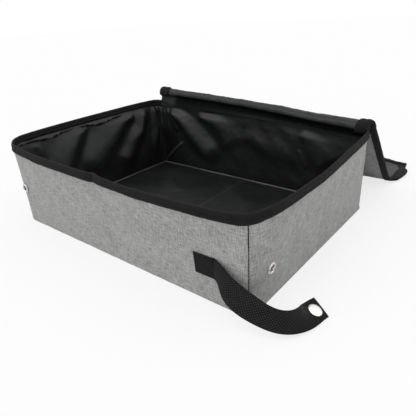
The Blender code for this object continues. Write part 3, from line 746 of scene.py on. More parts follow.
class Finish:
    """A material, or another block of nodes, built node by node."""

    def __init__(self, name, blocks="materials"):
        self.block = getattr(bpy.data, blocks).new(name)
        self.block.use_nodes = True
        self.tree = self.block.node_tree
        self.tree.nodes.clear()

    def node(self, kind, sockets=(), output=0, **settings):
        """A node with its settings, and with values or links in its sockets."""
        made = self.tree.nodes.new("ShaderNode" + kind)
        for key, value in settings.items():
            setattr(made, key, value)
        for key, value in dict(sockets).items():
            if isinstance(value, Wire):
                self.tree.links.new(value.socket, made.inputs[key])
            else:
                made.inputs[key].default_value = value
        return Wire(self, made.outputs[output]) if made.outputs else None

    def cloth_place(self, scale=(1, 1), turn=0.0):
        """Place on the cloth in its own lengths, scaled along and across."""
        flat = self.node("UVMap", uv_map="UVMap")
        sockets = {"Vector": flat, "Scale": (*scale, 1.0), "Rotation": (0, 0, turn)}
        return self.node("Mapping", sockets)

    def space_place(self, scale=(1, 1, 1)):
        """Place in space, scaled."""
        here = self.node("TexCoord", output="Object")
        return self.node("Mapping", {"Vector": here, "Scale": scale})

    def part(self, place, axis):
        """One of the numbers of a place."""
        return self.node("SeparateXYZ", {"Vector": place}, axis)

    def noise(self, place, scale, detail=2.0, roughness=0.5, distortion=0.0):
        """Cloudy unevenness, between 0 and 1."""
        sockets = {"Vector": place, "Scale": scale, "Detail": detail, "Roughness": roughness,
                   "Distortion": distortion}
        return self.node("TexNoise", sockets)

    def waves(self, place, along, count_per_metre):
        """Bands across a direction, between 0 and 1."""
        sockets = {"Vector": place, "Scale": count_per_metre / 20 * 2 * math.pi, "Distortion": 0.0}
        return self.node("TexWave", sockets, "Fac", wave_type="BANDS", bands_direction=along,
                         wave_profile="SIN")

    def ease(self, value, low, high, start=0.0, end=1.0):
        """A smooth change from start to end while a value goes from low to high."""
        sockets = {"Value": value, "From Min": low, "From Max": high, "To Min": start,
                   "To Max": end}
        return self.node("MapRange", sockets, interpolation_type="SMOOTHSTEP")

    def mix(self, share, first, second):
        """A colour at a share of the way from the first to the second."""
        return self.node("Mix", {0: share, 6: first, 7: second}, 2, data_type="RGBA")

    def bump(self, height, distance, strength=1.0, under=None):
        """A surface raised by a height, on top of the one under it."""
        sockets = {"Height": height, "Distance": distance, "Strength": strength}
        if under is not None:
            sockets["Normal"] = under
        return self.node("Bump", sockets)

    def eye_rays(self):
        """One where the camera looks, straight, by a mirror or through glass."""
        camera, glossy, through = (self.node("LightPath", output="Is " + ray + " Ray")
                                   for ray in ("Camera", "Glossy", "Transmission"))
        return camera.join("MAXIMUM", camera.join("MAXIMUM", camera, glossy), through)

    def close(self, shader, target="OutputMaterial"):
        """Links a shader to the output, and gives the finished block."""
        self.node(target, {"Surface": shader})
        return self.block

    def surface(self, **sockets):
        """The finished material, with the given sockets of its shader."""
        names = {key.replace("_", " "): value for key, value in sockets.items()}
        return self.close(self.node("BsdfPrincipled", names))


def tint(colour, share):
    """A colour made darker or lighter."""
    return (*(min(part * share, 1.0) for part in colour), 1.0)


# Pale colour painted along the satin's seams, creases and a wrinkle, as a painted highlight on
# their ridges
painted_highlight_colour = (0.085, 0.088, 0.085, 1)


def linen_finish():
    """Fine mottled linen with short slubs along both threads."""
    f = Finish("linen")
    colour = colours().linen
    flat = f.cloth_place()
    along = f.noise(f.cloth_place((95, 900)), 1.0, 3.0, 0.62)
    across = f.noise(f.cloth_place((900, 95)), 1.0, 3.0, 0.62)
    cloud = f.noise(flat, 38, 2.0, 0.5)
    speck = f.noise(flat, 1100, 2.0, 0.6)
    threads = f.ease(along, 0.36, 0.64) * 0.36 + f.ease(across, 0.36, 0.64) * 0.36
    threads = threads + f.ease(speck, 0.34, 0.66) * 0.28
    slubs = f.ease(f.noise(f.cloth_place((140, 1500)), 1.0, 1.0), 0.66, 0.76)
    slubs_up = f.ease(f.noise(f.cloth_place((1500, 140)), 1.0, 1.0), 0.67, 0.77)
    base = f.mix(threads * 0.9 + f.ease(cloud, 0.3, 0.7) * 0.1, tint(colour, 0.38),
                 tint(colour, 1.64))
    base = f.mix(slubs * 0.7, base, tint(colour, 0.42))
    base = f.mix(slubs_up * 0.65, base, tint(colour, 2.0))
    weave = f.waves(flat, "X", 1500) * f.waves(flat, "Y", 1500)
    height = weave * 0.35 + threads * 0.65 + slubs * 0.4 + slubs_up * 0.4
    normal = f.bump(height, 0.00035, 0.75)
    return f.surface(Base_Color=base, Roughness=f.ease(threads, 0, 1, 0.84, 0.95), Normal=normal,
                     Specular_IOR_Level=0.25, Sheen_Weight=0.12, Sheen_Roughness=0.5)


def satin_finish(name="satin", seams=(), shade=1.0, painted_highlight_path=None):
    """Smooth black satin with small creases that catch the light, and painted highlights along its
    seams.
    Seams are (axis, place, share), a painted highlight path runs from one point to another, and a
    shade below one darkens the whole satin as painted shade."""
    f = Finish(name)
    colour = colours().satin
    flat = f.cloth_place()
    crumple = f.noise(flat, 46, 4.0, 0.55, 0.6)
    fine = f.noise(f.cloth_place((260, 90), 0.5), 1.0, 3.0, 0.55)
    thread = f.noise(f.cloth_place((2600, 240)), 1.0, 1.0)
    cloud = f.noise(flat, 18, 2.0, 0.5)
    # A shade below one darkens the whole satin: painted shade
    base = f.mix(f.ease(cloud, 0.3, 0.7), tint(colour, 0.75 * shade), tint(colour, 1.3 * shade))
    # Pale lines along the seams: a painted highlight on their ridges
    for axis, place, share in seams:
        level = f.part(flat, axis)
        level = level + (f.noise(flat, 60, 1.0) - 0.5) * 0.0008
        line = f.ease(abs(abs(level) - place), 0.0010, 0.0028, 1, 0)
        base = f.mix(line * share, base, painted_highlight_colour)
    # A pale line along a wrinkle from one point to another: a painted highlight
    if painted_highlight_path:
        along, up = (f.part(flat, axis) for axis in (0, 1))
        (from_x, from_y), (to_x, to_y) = painted_highlight_path
        turn = math.atan2(to_y - from_y, to_x - from_x)
        gap = (from_y - up) * math.cos(turn) + (along - from_x) * math.sin(turn)
        line = f.ease(abs(gap), 0.0005, 0.0014, 1, 0)
        line = line * f.ease(along, to_x - 0.002, to_x + 0.003)
        line = line * f.ease(along, from_x, from_x + 0.001, 1, 0)
        base = f.mix(line * 0.8, base, painted_highlight_colour)
    normal = f.bump(crumple, 0.0011, 0.45)
    normal = f.bump(fine * 0.6 + thread * 0.4, 0.0002, 0.4, normal)
    rough = f.ease(cloud, 0.25, 0.75, 0.42, 0.5)
    return f.surface(Base_Color=base, Roughness=rough, Normal=normal, Specular_IOR_Level=0.32)


def wall_satin_finish():
    """Satin of the walls, with a painted highlight along a wrinkle rising from the corner behind
    on the left.
    """
    return satin_finish("satin", painted_highlight_path=((1.0985, 0.004), (1.043, 0.053)))


def floor_finish():
    """Satin of the floor, darker all over as painted shade, with painted highlights along its
    seams at the edges and its middle crease.
    """
    return satin_finish("floor_satin", ((1, 0.1426, 0.9), (0, 0.1926, 0.9), (0, 0.0, 0.10)), 0.7)


def strip_finish():
    """Satin of the lid's strip: painted shade under the roll with its left end painted lighter,
    and painted light fading up from its lower edge.
    """
    f = Finish("strip_satin")
    colour = colours().satin
    flat = f.cloth_place()
    along, up = (f.part(flat, axis) for axis in (0, 1))
    # Painted shade where the roll overhangs the strip; further left the strip is painted lighter
    painted_shade = f.ease(along, -0.172, -0.150)
    marks = f.noise(flat, 60, 3.0, 0.6)
    # Painted light fading up from the strip's lower edge, a soft edge to the painted shade
    painted_light_below = f.ease(up + (marks - 0.5) * 0.006, 0.0003, 0.0090, 1, 0) * painted_shade
    painted_light_below = painted_light_below * f.ease(along, -0.12, 0.05, 0.4, 1.0)
    base = f.mix(painted_shade, tint(colour, 4.0), tint(colour, 0.35))
    base = f.mix(f.ease(marks, 0.4, 0.7) * f.ease(along, -0.1, 0.02, 0.5, 0.0), base,
                 tint(colour, 1.2))
    base = f.mix(painted_light_below, base, tint(colour, 2.8))
    normal = f.bump(marks, 0.0014, 0.6)
    return f.surface(Base_Color=base, Roughness=f.ease(painted_shade, 0, 1, 0.5, 0.9), Normal=normal,
                     Specular_IOR_Level=0.05)


def tape_finish():
    """Woven binding tape with fine cross ribs."""
    f = Finish("tape")
    colour = colours().tape
    flat = f.cloth_place()
    ribs = f.waves(flat, "X", 1150)
    rows = f.waves(flat, "Y", 900)
    wear = f.noise(flat, 120, 3.0, 0.6)
    puckers = f.noise(f.cloth_place((150, 60)), 1.0, 2.0, 0.5)
    base = f.mix(f.ease(wear, 0.3, 0.75), tint(colour, 0.7), tint(colour, 1.55))
    normal = f.bump(puckers, 0.0012, 0.6)
    normal = f.bump(ribs * 0.6 + rows * 0.25 + wear * 0.3, 0.00025, 0.7, normal)
    return f.surface(Base_Color=base, Roughness=f.ease(wear, 0.3, 0.7, 0.66, 0.84), Normal=normal,
                     Specular_IOR_Level=0.12)


def webbing_finish():
    """Ribbed webbing: a fine grid of raised threads."""
    f = Finish("webbing")
    colour = colours().webbing
    flat = f.cloth_place()
    ribs = f.waves(f.cloth_place((1, 1), math.radians(45)), "X", 440)
    cords = f.waves(f.cloth_place((1, 1), math.radians(45)), "Y", 440)
    along = f.part(flat, 0)
    shown = f.ease(along, 0.010, 0.030, 0.12, 1) * f.ease(along, 0.085, 0.115, 1, 0.12)
    grid = f.ease(ribs * cords, 0.42, 0.85) * shown
    wear = f.noise(flat, 160, 3.0, 0.6)
    base = f.mix(grid * 0.85 + f.ease(wear, 0.35, 0.75) * 0.15, tint(colour, 0.25),
                 tint(colour, 6.5))
    normal = f.bump(grid + wear * 0.15, 0.0006, 0.9)
    return f.surface(Base_Color=base, Roughness=f.ease(wear, 0.3, 0.7, 0.6, 0.78), Normal=normal,
                     Specular_IOR_Level=0.14)


def thread_finish():
    """Twisted sewing thread."""
    f = Finish("thread")
    twist = f.waves(f.space_place(), "DIAGONAL", 2400)
    base = f.mix(twist, (0.004, 0.0045, 0.0045, 1), (0.013, 0.014, 0.013, 1))
    return f.surface(Base_Color=base, Roughness=0.7, Normal=f.bump(twist, 0.0001, 0.6),
                     Specular_IOR_Level=0.15)


def snap_finish():
    """Plated snap metal with faint handling marks."""
    f = Finish("plated_metal")
    colour = colours().snap
    marks = f.noise(f.space_place((900, 900, 900)), 1.0, 3.0, 0.6)
    base = f.mix(f.ease(marks, 0.35, 0.7), tint(colour, 1.0), tint(colour, 1.1))
    return f.surface(Base_Color=base, Roughness=f.ease(marks, 0.3, 0.7, 0.3, 0.4), Metallic=1.0,
                     Normal=f.bump(marks, 0.000002, 0.2))


def stud_finish():
    """Plated stud with painted shade in its grooves, its middle and its outer rim, by the distance
    from its middle.
    """
    f = Finish("stud_metal")
    colour = colours().snap
    reach = f.part(f.cloth_place(), 0)
    marks = f.noise(f.space_place((700, 700, 700)), 1.0, 2.0, 0.6)
    reach = reach + (marks - 0.5) * 0.0012
    # Painted shade in the groove, the hollow middle and the outer rim, where shadow falls
    groove = f.ease(reach, 0.0020, 0.0026) * f.ease(reach, 0.0040, 0.0045, 1, 0)
    middle = f.ease(reach, 0.0006, 0.0012, 1, 0)
    rim = f.ease(reach, 0.0059, 0.0064)
    painted_groove_shade = groove * 0.9 + middle * 0.7 + rim * 0.25
    base = f.mix(painted_groove_shade, tint(colour, 0.8), (0.012, 0.012, 0.011, 1))
    return f.surface(Base_Color=base, Roughness=f.ease(marks, 0.3, 0.7, 0.22, 0.4),
                     Metallic=1.0 - painted_groove_shade * 0.8, Normal=f.bump(marks, 0.00001, 0.4))


def board_finish():
    """Pressed grey board with fibres."""
    f = Finish("board")
    colour = colours().board
    fibres = f.noise(f.space_place((420, 420, 60)), 1.0, 4.0, 0.6)
    base = f.mix(f.ease(fibres, 0.3, 0.7), tint(colour, 0.8), tint(colour, 1.12))
    return f.surface(Base_Color=base, Roughness=f.ease(fibres, 0.3, 0.7, 0.7, 0.85),
                     Normal=f.bump(fibres, 0.0003, 0.5))


makers = {
    "linen": linen_finish, "satin": wall_satin_finish, "floor": floor_finish,
    "strip": strip_finish, "tape": tape_finish, "webbing": webbing_finish,
    "thread": thread_finish, "metal": snap_finish, "stud": stud_finish, "board": board_finish,
}
finishes = {}


def finish(name):
    """The finish of that name, built when it is first asked for."""
    if name not in finishes:
        finishes[name] = makers[name]()
    return finishes[name]


# Lengths of the tray's girth, each with the body or the two bodies that carry it
rim_spans = (
    ("front", corner_reach, right_start - corner_reach, ("front_wall",)),
    ("front_right_corner", right_start - corner_reach, right_start + corner_reach,
     ("front_wall", "right_side_front")),
    ("right_front", right_start + corner_reach, right_crease, ("right_side_front",)),
    ("right_rear", right_crease, back_start - corner_reach, ("right_side_rear",)),
    ("back_right_corner", back_start - corner_reach, back_start + corner_reach,
     ("right_side_rear", "back_wall")),
    ("back", back_start + corner_reach, left_start - corner_reach, ("back_wall",)),
    ("back_left_corner", left_start - corner_reach, left_start + corner_reach,
     ("back_wall", "left_side_rear")),
    ("left_rear", left_start + corner_reach, left_crease, ("left_side_rear",)),
    ("left_front", left_crease, left_end - corner_reach, ("left_side_front",)),
    ("front_left_corner_side", left_end - corner_reach, left_end, ("left_side_front",)),
    ("front_left_corner_front", left_end, left_end + corner_reach, ("front_wall",)),
)


def settle(piece, kind, *nodes):
    """Hides the solids that a piece stands for."""
    if nodes:
        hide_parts(*nodes)


def declare(width, length, cut=1.0):
    """Multiplies out a sheet's flat area, which is not kept.  Cut is the share of its flat outline
    that is left.
    """
    width * length * cut


def flatten(piece, sign):
    """Gives a piece its own copy of its mesh."""
    sign * flat_side
    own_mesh(piece)


def carry(piece, span):
    """Hangs a piece on the body of its length of the girth, or at a corner bakes its place into
    its mesh.
    """
    name, start, end, bodies = span
    if len(bodies) == 2:
        half_height = 0.06
        first, last = wall_point(np.array((start, end)), half_height, 0.002)
        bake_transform(piece)
        return
    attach(piece, bodies[0])
    if "side" in bodies[0] and "corner" not in name:
        flatten(piece, 1 if "right" in bodies[0] else -1)


def wall_piece(span, ending, kind, shape, steps, thickness, solid_ending, sharp=50):
    """A sheet over one length of the girth.  Steps are its spacings on a wall and round a corner,
    and its number of rows."""
    name, start, end, _ = span
    corner = "corner" in name
    grid = (count(end - start, steps[corner]), steps[2])
    piece = sheet(name + ending, grid, shape, finish(kind), thickness, sharp)
    settle(piece, kind, *(() if corner else (name + solid_ending,)))
    carry(piece, span)
    return piece


# ---- Walls ----
def make_walls():
    """Outer cloth of every wall, with a sewn seam down each corner."""
    for span in rim_spans:
        name, start, end, _ = span

        def cloth(u, v):
            place = between(start, end, u)
            height = between(wall_foot, rim_top(place) - 0.0026, v)
            x = np.mod(place, girth) * 1000
            tuck = np.clip((0.003 - height) / 0.003, 0, 1) ** 2 * 0.0012
            tuck = tuck - 0.00022 * ripple(x, height * 1000, 26, 31)
            tuck = tuck - 0.0004 * ripple(x, height * 600, 90, 32) * smooth_step(height / 0.03)
            for crease in wall_creases:
                tuck = tuck + 0.0008 * (bell(x - crease, 1.6) * smooth_step(height / 0.02))
            for seam in wall_seams:
                tuck = tuck + 0.0007 * bell(x - seam, 0.8)
            return wall_point(place, height, np.maximum(tuck, -0.0007)), (place, height)

        piece = wall_piece(span, "_cloth", "linen", cloth, (0.0020, 0.0008, 56),
                           cloth_thickness, "_shell")
        declare(end - start, rim_height)
        if "corner" in name and name != "front_left_corner_side":
            make_corner_seam(span, start if "front_left" in name else (start + end) / 2)


def make_corner_seam(span, place):
    """The sewn seam down a corner of the outer cloth."""
    height = stitch_line(0.003, float(rim_top(place)) - 0.0105, 0.0036)
    row = wall_stitches(np.full(height.shape, place), height, 0.0004, (0, 0.001))
    carry(stitches(span[0] + "_seam", (row,), 0.0046, 0.0013), span)


def make_boards():
    """Stiffening boards that follow the bowed walls, two in each long wall."""
    for span in rim_spans:
        name, start, end, _ = span
        if "corner" in name:
            continue
        parts = ((start, end, ""),)
        if name in ("front", "back"):
            middle = (start + end) / 2
            first, second = ("_left", "_right") if name == "front" else ("_right", "_left")
            parts = ((start, middle - 0.0003, first), (middle + 0.0003, end, second))
        for low, high, hand in parts:

            def board(u, v):
                place = between(low, high, u)
                height = 0.006 + (rim_top(place) - 0.0205) * v
                return wall_point(place, height, 0.0013), (place, height)

            node = name + "_board" + hand
            steps = (count(high - low, 0.006), 18)
            piece = sheet(node + "_bowed", steps, board, finish("board"), board_thickness)
            settle(piece, "board", node)
            carry(piece, span)


def make_linings():
    """Loose satin inside each wall, with its folds."""
    for span in rim_spans:
        name, start, end, _ = span

        def satin(u, v):
            place = between(end, start, u)
            height = 0.0015 + (rim_top(place) - 0.0045) * v
            depth = lining_depth - rim_pinch(place, height) + lining_fold(place, height)
            return wall_point(place, height, depth, lining_reach(height)), (place, height)

        piece = wall_piece(span, "_satin", "satin", satin, (0.0016, 0.0010, 74),
                           satin_thickness, "_lining", 80)
        cut = 0.72 if "corner" in name else 1.0
        declare(end - start, rim_height, cut)


def tape_section(v, drop, inner_drop):
    """Depth in the wall and height over the rim of the tape's outside, and its cloth length."""
    out, thick = tape_stand, tape_inside
    outline = (
        (0, -0.0006, -1.02), (0.02, -out * 0.95, -0.95), (0.24, -out, -0.5), (0.44, -out, -0.27),
        (0.50, -out * 0.75, -0.11), (0.54, thick * 0.2, -0.01), (0.56, thick * 0.5, 0.02),
        (0.58, thick * 0.8, 0.01), (0.62, thick + out * 0.75, 0.11), (0.68, thick + out, 0.27),
        (0.82, thick + out, 0.5), (0.98, thick + out * 0.95, 0.95), (1, thick + 0.0006, 1.02),
    )
    at, depths, shares = np.array(outline).T
    depth, share = curve(np.stack((at, depths), 1), v), curve(np.stack((at, shares), 1), v)
    down = np.where(share < 0, share * drop, -share * inner_drop)
    return depth, np.where(np.abs(share) < 0.03, 0.0002, down), v * (2 * thick + drop + 0.011)


def make_rim():
    """Tape folded over the rim, with a stitch row on each side."""
    drop = sizes().tape_drop
    for span in rim_spans:
        name, start, end, _ = span

        def tape(u, v):
            place = between(start, end, u)
            inner_drop = 0.0030 if name == "back" else 0.0108 - 0.0020 * left_share(place)
            depth, down, across = tape_section(v, drop, inner_drop)
            x = np.mod(place, girth) * 1000
            pucker = 0.00022 * ripple(x, across * 1000, 9, 41)
            wave = 0.0005 * ripple(x, 0 * x, 55, 42)
            depth = depth + np.where(depth < 0.002, -1, 1) * pucker
            height = rim_top(place) + down + wave * smooth_step(-down / 0.008)
            return wall_point(place, height, depth), (place, across)

        wall_piece(span, "_rim_tape", "tape", tape, (0.0022, 0.0012, 34), 0.0007, "_rim_binding")
        place = stitch_line(start, end, sizes().stitch_pitch)
        lines = [(-tape_stand - thread_stand, drop - 0.0016, 1),
                 (tape_inside + tape_stand + thread_stand, 0.0090, -1)]
        rows = [wall_stitches(place, rim_top(place) - down, depth, (0.0004, 0), sign)
                for depth, down, sign in (lines[:1] if name == "back" else lines)]
        carry(stitches(name + "_rim_stitches", rows), span)


# ---- Floor ----
def make_floor():
    """Satin on the floor, in two halves with a crease between them."""
    for end, sign in (("rear", 1), ("front", -1)):
        far, near = sign * (half_depth - 0.0038), sign * 0.0002
        low, high = sorted((near, far))

        def satin(u, v):
            x = floor_reach * (2 * u - 1)
            y = between(low, high, v)
            edge = np.minimum(floor_reach - np.abs(x), np.abs(far - y))
            waves = 0.0008 * ripple(x * 1000 + y * 350, y * 1000, 90, 51)
            waves = waves + 0.0001 * ripple(x * 1000, y * 1000, 26, 52) + 0.0010
            for path, rise, wide in floor_folds:
                gap, share, side = path_gap(path, x * 1000, y * 1000)
                ends = smooth_step(share / 0.15) * smooth_step((1 - share) / 0.15)
                width = wide * np.where(side > 0, 1.8, 1.2)
                waves = waves + 0.4 * rise / 1000 * ends * bell(gap, width)
            waves = np.maximum(waves, 0) * smooth_step(edge / 0.012)
            waves = waves * (0.25 + 0.75 * smooth_step(np.abs(y) / 0.012))
            bead = 0.0019 * bell(edge - 0.0036, 0.0013)
            return np.stack((x, y, floor_height + waves + bead), axis=1), (x, y)

        body = "floor_" + end
        piece = sheet(body + "_satin", (230, 86), satin, finish("floor"), satin_thickness, 80)
        settle(piece, "satin", body + "_lining")
        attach(piece, body)
        declare(2 * floor_reach, abs(far - near))


def make_kept_nodes():
    """Finishes for the floor's base and boards, whose own solids stay in view."""
    for node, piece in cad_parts.items():
        if not piece.hide_render:
            kind = "linen" if "base" in node else "board"
            piece.data.materials.clear()
            piece.data.materials.append(finish(kind))


# ---- Lid ----
# Layers of the lid as (name, kind, where its run starts and ends, rows, flat length where the run
# doesn't give it, fold that it crosses, solids that it stands for)
lid_layers = (
    ("lid_strip_satin_side", "satin", 0.0, 1.0, 26, 0.0240, "rim", ("lid_strip_lining",)),
    ("lid_strip_linen_side", "linen", 0.4, 1.0, 14, 0.0105, None, ("lid_strip_shell",)),
    ("lid_slope_satin", "satin", 1.0, 3.0, 130, None, "ridge",
     ("lid_ridge_roll", "lid_rear_lining")),
    ("lid_slope_linen", "linen", 1.0, 3.0, 130, None, "ridge", ("lid_rear_shell",)),
    ("lid_flap_satin", "satin", 3.0, 5.0, 76, None, "foot", ("lid_front_lining",)),
    ("lid_flap_linen", "linen", 3.0, 5.0, 76, None, "foot", ("lid_front_shell",)),
)
# Side tapes of the lid as (name, where its run starts and ends, width, stand, fold it crosses)
lid_side_tapes = (
    ("lid_ridge_end", 0.52, 2.06, 0.0150, 0.0022, "ridge"),
    ("lid_rear_binding", 2.0, 3.0, 0.0085, 0.0008, "ridge"),
    ("lid_front_binding", 3.0, 4.93, 0.0085, 0.0008, "foot"),
)


def bend_lid(piece):
    """Bakes a piece's place into its mesh."""
    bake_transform(piece)


def make_lid_layers():
    """Linen and satin of the strip, the slope with its ridge, and the flap."""
    for name, kind, first, last, rows, length, fold, nodes in lid_layers:
        linen = kind == "linen"

        def cloth(u, v):
            run = spread_run(first, last, v)
            share = 1 - 2 * u if linen or first == 0.0 else 2 * u - 1
            x = lid_reach(run, share) * share
            edge = np.minimum(lid_reach(run, share) - np.abs(x), run_length(5) - run_length(run))
            lift = 0 if linen else 0.0006 * np.abs(ripple(x * 1000 + run * 20, run * 40, 22, 61))
            lift = lift * smooth_step((run - 1) / 0.3) * smooth_step((edge - 0.009) / 0.012)
            depth = lid_thickness if linen else 0.0
            return lid_point(x, run, depth - lift), (x, run_length(run))

        material = finish("strip" if name == "lid_strip_satin_side" else kind)
        thickness = cloth_thickness if linen else satin_thickness
        piece = sheet(name, (150, rows), cloth, material, thickness, 80)
        settle(piece, kind, *nodes)
        if fold:
            bend_lid(piece)
        else:
            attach(piece, "lid_strip")
        length = length or run_length(last) - run_length(first)
        declare(2 * lid_half_width, float(length))


def make_lid_boards():
    """Two boards in the slope and two in the flap."""
    for body, first, last in (("lid_rear", 2.03, 2.97), ("lid_front", 4.05, 4.88)):
        for hand, low, high in (("left", -0.193, -0.0004), ("right", 0.0004, 0.193)):

            def board(u, v):
                x, run = between(low, high, u), between(first, last, v)
                return lid_point(x, run, 0.0010), (x, run_length(run))

            name = body + "_board_" + hand
            piece = sheet(name + "_fitted", (40, 30), board, finish("board"), 0.0015)
            settle(piece, "board", name)
            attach(piece, body)


def edge_section(v, width, out):
    """Distance out from the lid's edge, depth and cloth length of the tape folded round it."""
    thick = lid_thickness
    outline = (
        (-1, 0.0002), (-0.92, -out), (-0.5, -out), (-0.07, -out), (0.10, -out * 0.4),
        (0.16, thick * 0.5), (0.10, thick + out * 0.4), (-0.07, thick + out), (-0.5, thick + out),
        (-0.92, thick + out), (-1, thick - 0.0002),
    )
    wide, deep = np.array(outline).T
    runs = np.concatenate(((0,), np.cumsum(np.hypot(np.diff(wide) * 0.0085, np.diff(deep)))))
    at = v * runs[-1]
    return curve(np.stack((runs, wide), 1), at) * width, curve(np.stack((runs, deep), 1), at), at


def make_lid_side_tapes():
    """Tape and stitches down the lid's sides, and a ring of tape at each end of the ridge."""
    for name, first, last, width, stand, fold in lid_side_tapes:
        for hand, sign in (("left", -1), ("right", 1)):

            def tape(u, v):
                run = spread_run(first, last, u)
                broad = width
                if name == "lid_front_binding":
                    broad = width + 0.006 * bell(run - 4.4, 0.35)
                elif name == "lid_ridge_end" and hand == "left":
                    broad = width + 0.006
                out, deep, across = edge_section(v if sign < 0 else 1 - v, broad, stand)
                pucker = 0.0002 * ripple(run * 60, across * 1000, 7, 71)
                x = sign * (lid_reach(run, sign) + out)
                return lid_point(x, run, deep + pucker), (run_length(run), across)

            low, high = run_length((first, last))
            node = name + "_" + hand
            piece = sheet(node + "_tape", (count(high - low, 0.002), 30), tape, finish("tape"),
                          0.0006)
            settle(piece, "tape", *((node,) if "binding" in name else ()))
            bend_lid(piece)
            line = stitch_line(low, high, sizes().stitch_pitch)
            run = np.interp(line, run_lengths, run_places)
            x = sign * (lid_reach(run, sign) - width + 0.0018)
            rows = [lid_stitches(x, run, deep, side) for deep, side in
                    ((-stand - thread_stand, 1), (lid_thickness + stand + thread_stand, -1))]
            bend_lid(stitches(node + "_stitches", rows))


def make_lid_edge_tape():
    """Tape and stitches along the flap's free edge."""

    def edge(u, v):
        out, deep, across = edge_section(v, 0.0105, 0.0020)
        share = 2 * u - 1
        x = share * (lid_reach(np.full(u.shape, 4.95), share) + 0.0013)
        pucker = 0.0003 * ripple(x * 1000, across * 1000, 8, 72)
        points = lid_point(x, np.full(u.shape, 5.0), deep + pucker)
        points[:, 1] += out
        return points, (x, across)

    piece = sheet("lid_edge_tape", (200, 30), edge, finish("tape"), 0.0006)
    settle(piece, "tape", "lid_edge_binding")
    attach(piece, "lid_front")
    x = stitch_line(-0.2, 0.2, sizes().stitch_pitch)
    run = np.full(x.shape, 5 - 0.0087 / 0.092)
    rows = [(lid_point(x, run, deep), np.tile((1.0, 0, 0), (len(x), 1)),
             np.tile((0, 0, side), (len(x), 1)))
            for deep, side in ((-0.0021, 1.0), (lid_thickness + 0.0021, -1.0))]
    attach(stitches("lid_edge_stitches", rows), "lid_front")


def make_lid():
    """The open lid: layers of linen and satin, boards, and tape round its edges."""
    make_lid_layers()
    make_lid_boards()
    make_lid_side_tapes()
    make_lid_edge_tape()


# ---- Strap and snaps ----
def eased(values, times=6):
    """Values or points in a row with their sharp changes rounded off."""
    for _ in range(times):
        middles = (values[:-2] + 2 * values[1:-1] + values[2:]) / 4
        values = np.concatenate((values[:1], middles, values[-1:]))
    return values


def strap_frames(shares):
    """Middle, direction ahead and width direction of the strap at shares of its length."""
    known, *angles = np.array(strap_turns, float).T
    steps = np.arange(strap_steps + 1)
    heading, dip, lean = (np.radians(eased(np.interp(steps / strap_steps, known, values)))
                          for values in angles)
    cos_h, sin_h, cos_d, sin_d = np.cos(heading), np.sin(heading), np.cos(dip), np.sin(dip)
    ahead = np.stack((cos_h * cos_d, sin_h * cos_d, sin_d), 1)
    rise = np.stack((-cos_h * sin_d, -sin_h * sin_d, cos_d), 1)
    left = np.stack((-sin_h, cos_h, 0 * heading), 1)
    wide = rise * np.cos(lean)[:, None] + left * np.sin(lean)[:, None]
    step = strap_length / strap_steps
    middle = np.concatenate((np.zeros((1, 3)), np.cumsum((ahead[1:] + ahead[:-1]) * step / 2, 0)))
    middle[:, 2] *= (strap_landing - strap_root[2]) / middle[-1, 2]
    middle = middle + strap_root
    low, high = (eased(middle + side * wide * strap_width / 2, 14) for side in (-1, 1))
    middle, wide = (low + high) / 2, (high - low) / strap_width
    ahead = unit(np.gradient(middle, axis=0))
    return [np.stack([np.interp(shares * strap_steps, steps, row) for row in rows.T], 1)
            for rows in (middle, ahead, wide)]


def webbing_piece(name, grid, shape, thickness, node, body):
    """A piece of webbing with softened edges, on the body that carries it."""
    piece = sheet(name, grid, shape, finish("webbing"), thickness)
    apply_modifier(piece, "Edge", "BEVEL", width=0.00035, segments=2, limit_method="ANGLE",
                   angle_limit=math.radians(50))
    shade(piece, 60)
    settle(piece, "webbing", node)
    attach(piece, body)
    return piece


def make_strap():
    """Webbing strap, and its sewn tab with a box stitch."""

    def band(u, v):
        middle, ahead, wide = strap_frames(u)
        across = (v - 0.5) * strap_width
        stand = 0.0004 * (1 - (2 * v - 1) ** 2) + strap_thickness / 2
        points = middle + wide * across[:, None] + np.cross(ahead, wide) * stand[:, None]
        return points, (u * strap_length, across)

    def tab(u, v):
        edge = np.minimum(u * 0.0252, 0.02) / 0.0015
        stand = 0.0003 + strap_thickness * (0.35 + 0.65 * smooth_step(edge))
        height = strap_root[2] - strap_width / 2 + strap_width * v
        cloth = (u * tab_length - tab_length, (v - 0.5) * strap_width)
        return wall_point(tab_start + tab_length * u, height, -stand), cloth

    strap = webbing_piece("webbing_strap", (150, 16), band, strap_thickness, "strap", "strap")
    declare(strap_width, strap_length)
    webbing_piece("webbing_tab", (32, 20), tab, strap_thickness * 0.9, "strap_tab", "front_wall")
    rows = []
    for first, last in ((0, 1), (1, 2), (2, 3), (3, 0), (0, 2), (1, 3)):
        (x0, y0), (x1, y1) = tab_corners[first], tab_corners[last]
        length = math.hypot(x1 - x0, y1 - y0)
        t = stitch_line(0, length, 0.0028) / length
        place, height = tab_start + x0 + (x1 - x0) * t, strap_root[2] + y0 + (y1 - y0) * t
        step = ((x1 - x0) * 0.01, (y1 - y0) * 0.01)
        rows.append(wall_stitches(place, height, -0.0018, step))
    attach(stitches("tab_box_stitches", rows), "front_wall")


def fasten(node, outline, kind, middle, facing, body):
    """A round metal part at its place on a body."""
    piece = turned(node + "_turned", outline, finish(kind), middle, facing)
    settle(piece, "metal", node)
    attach(piece, body)
    if "side" in body:
        flatten(piece, 1)


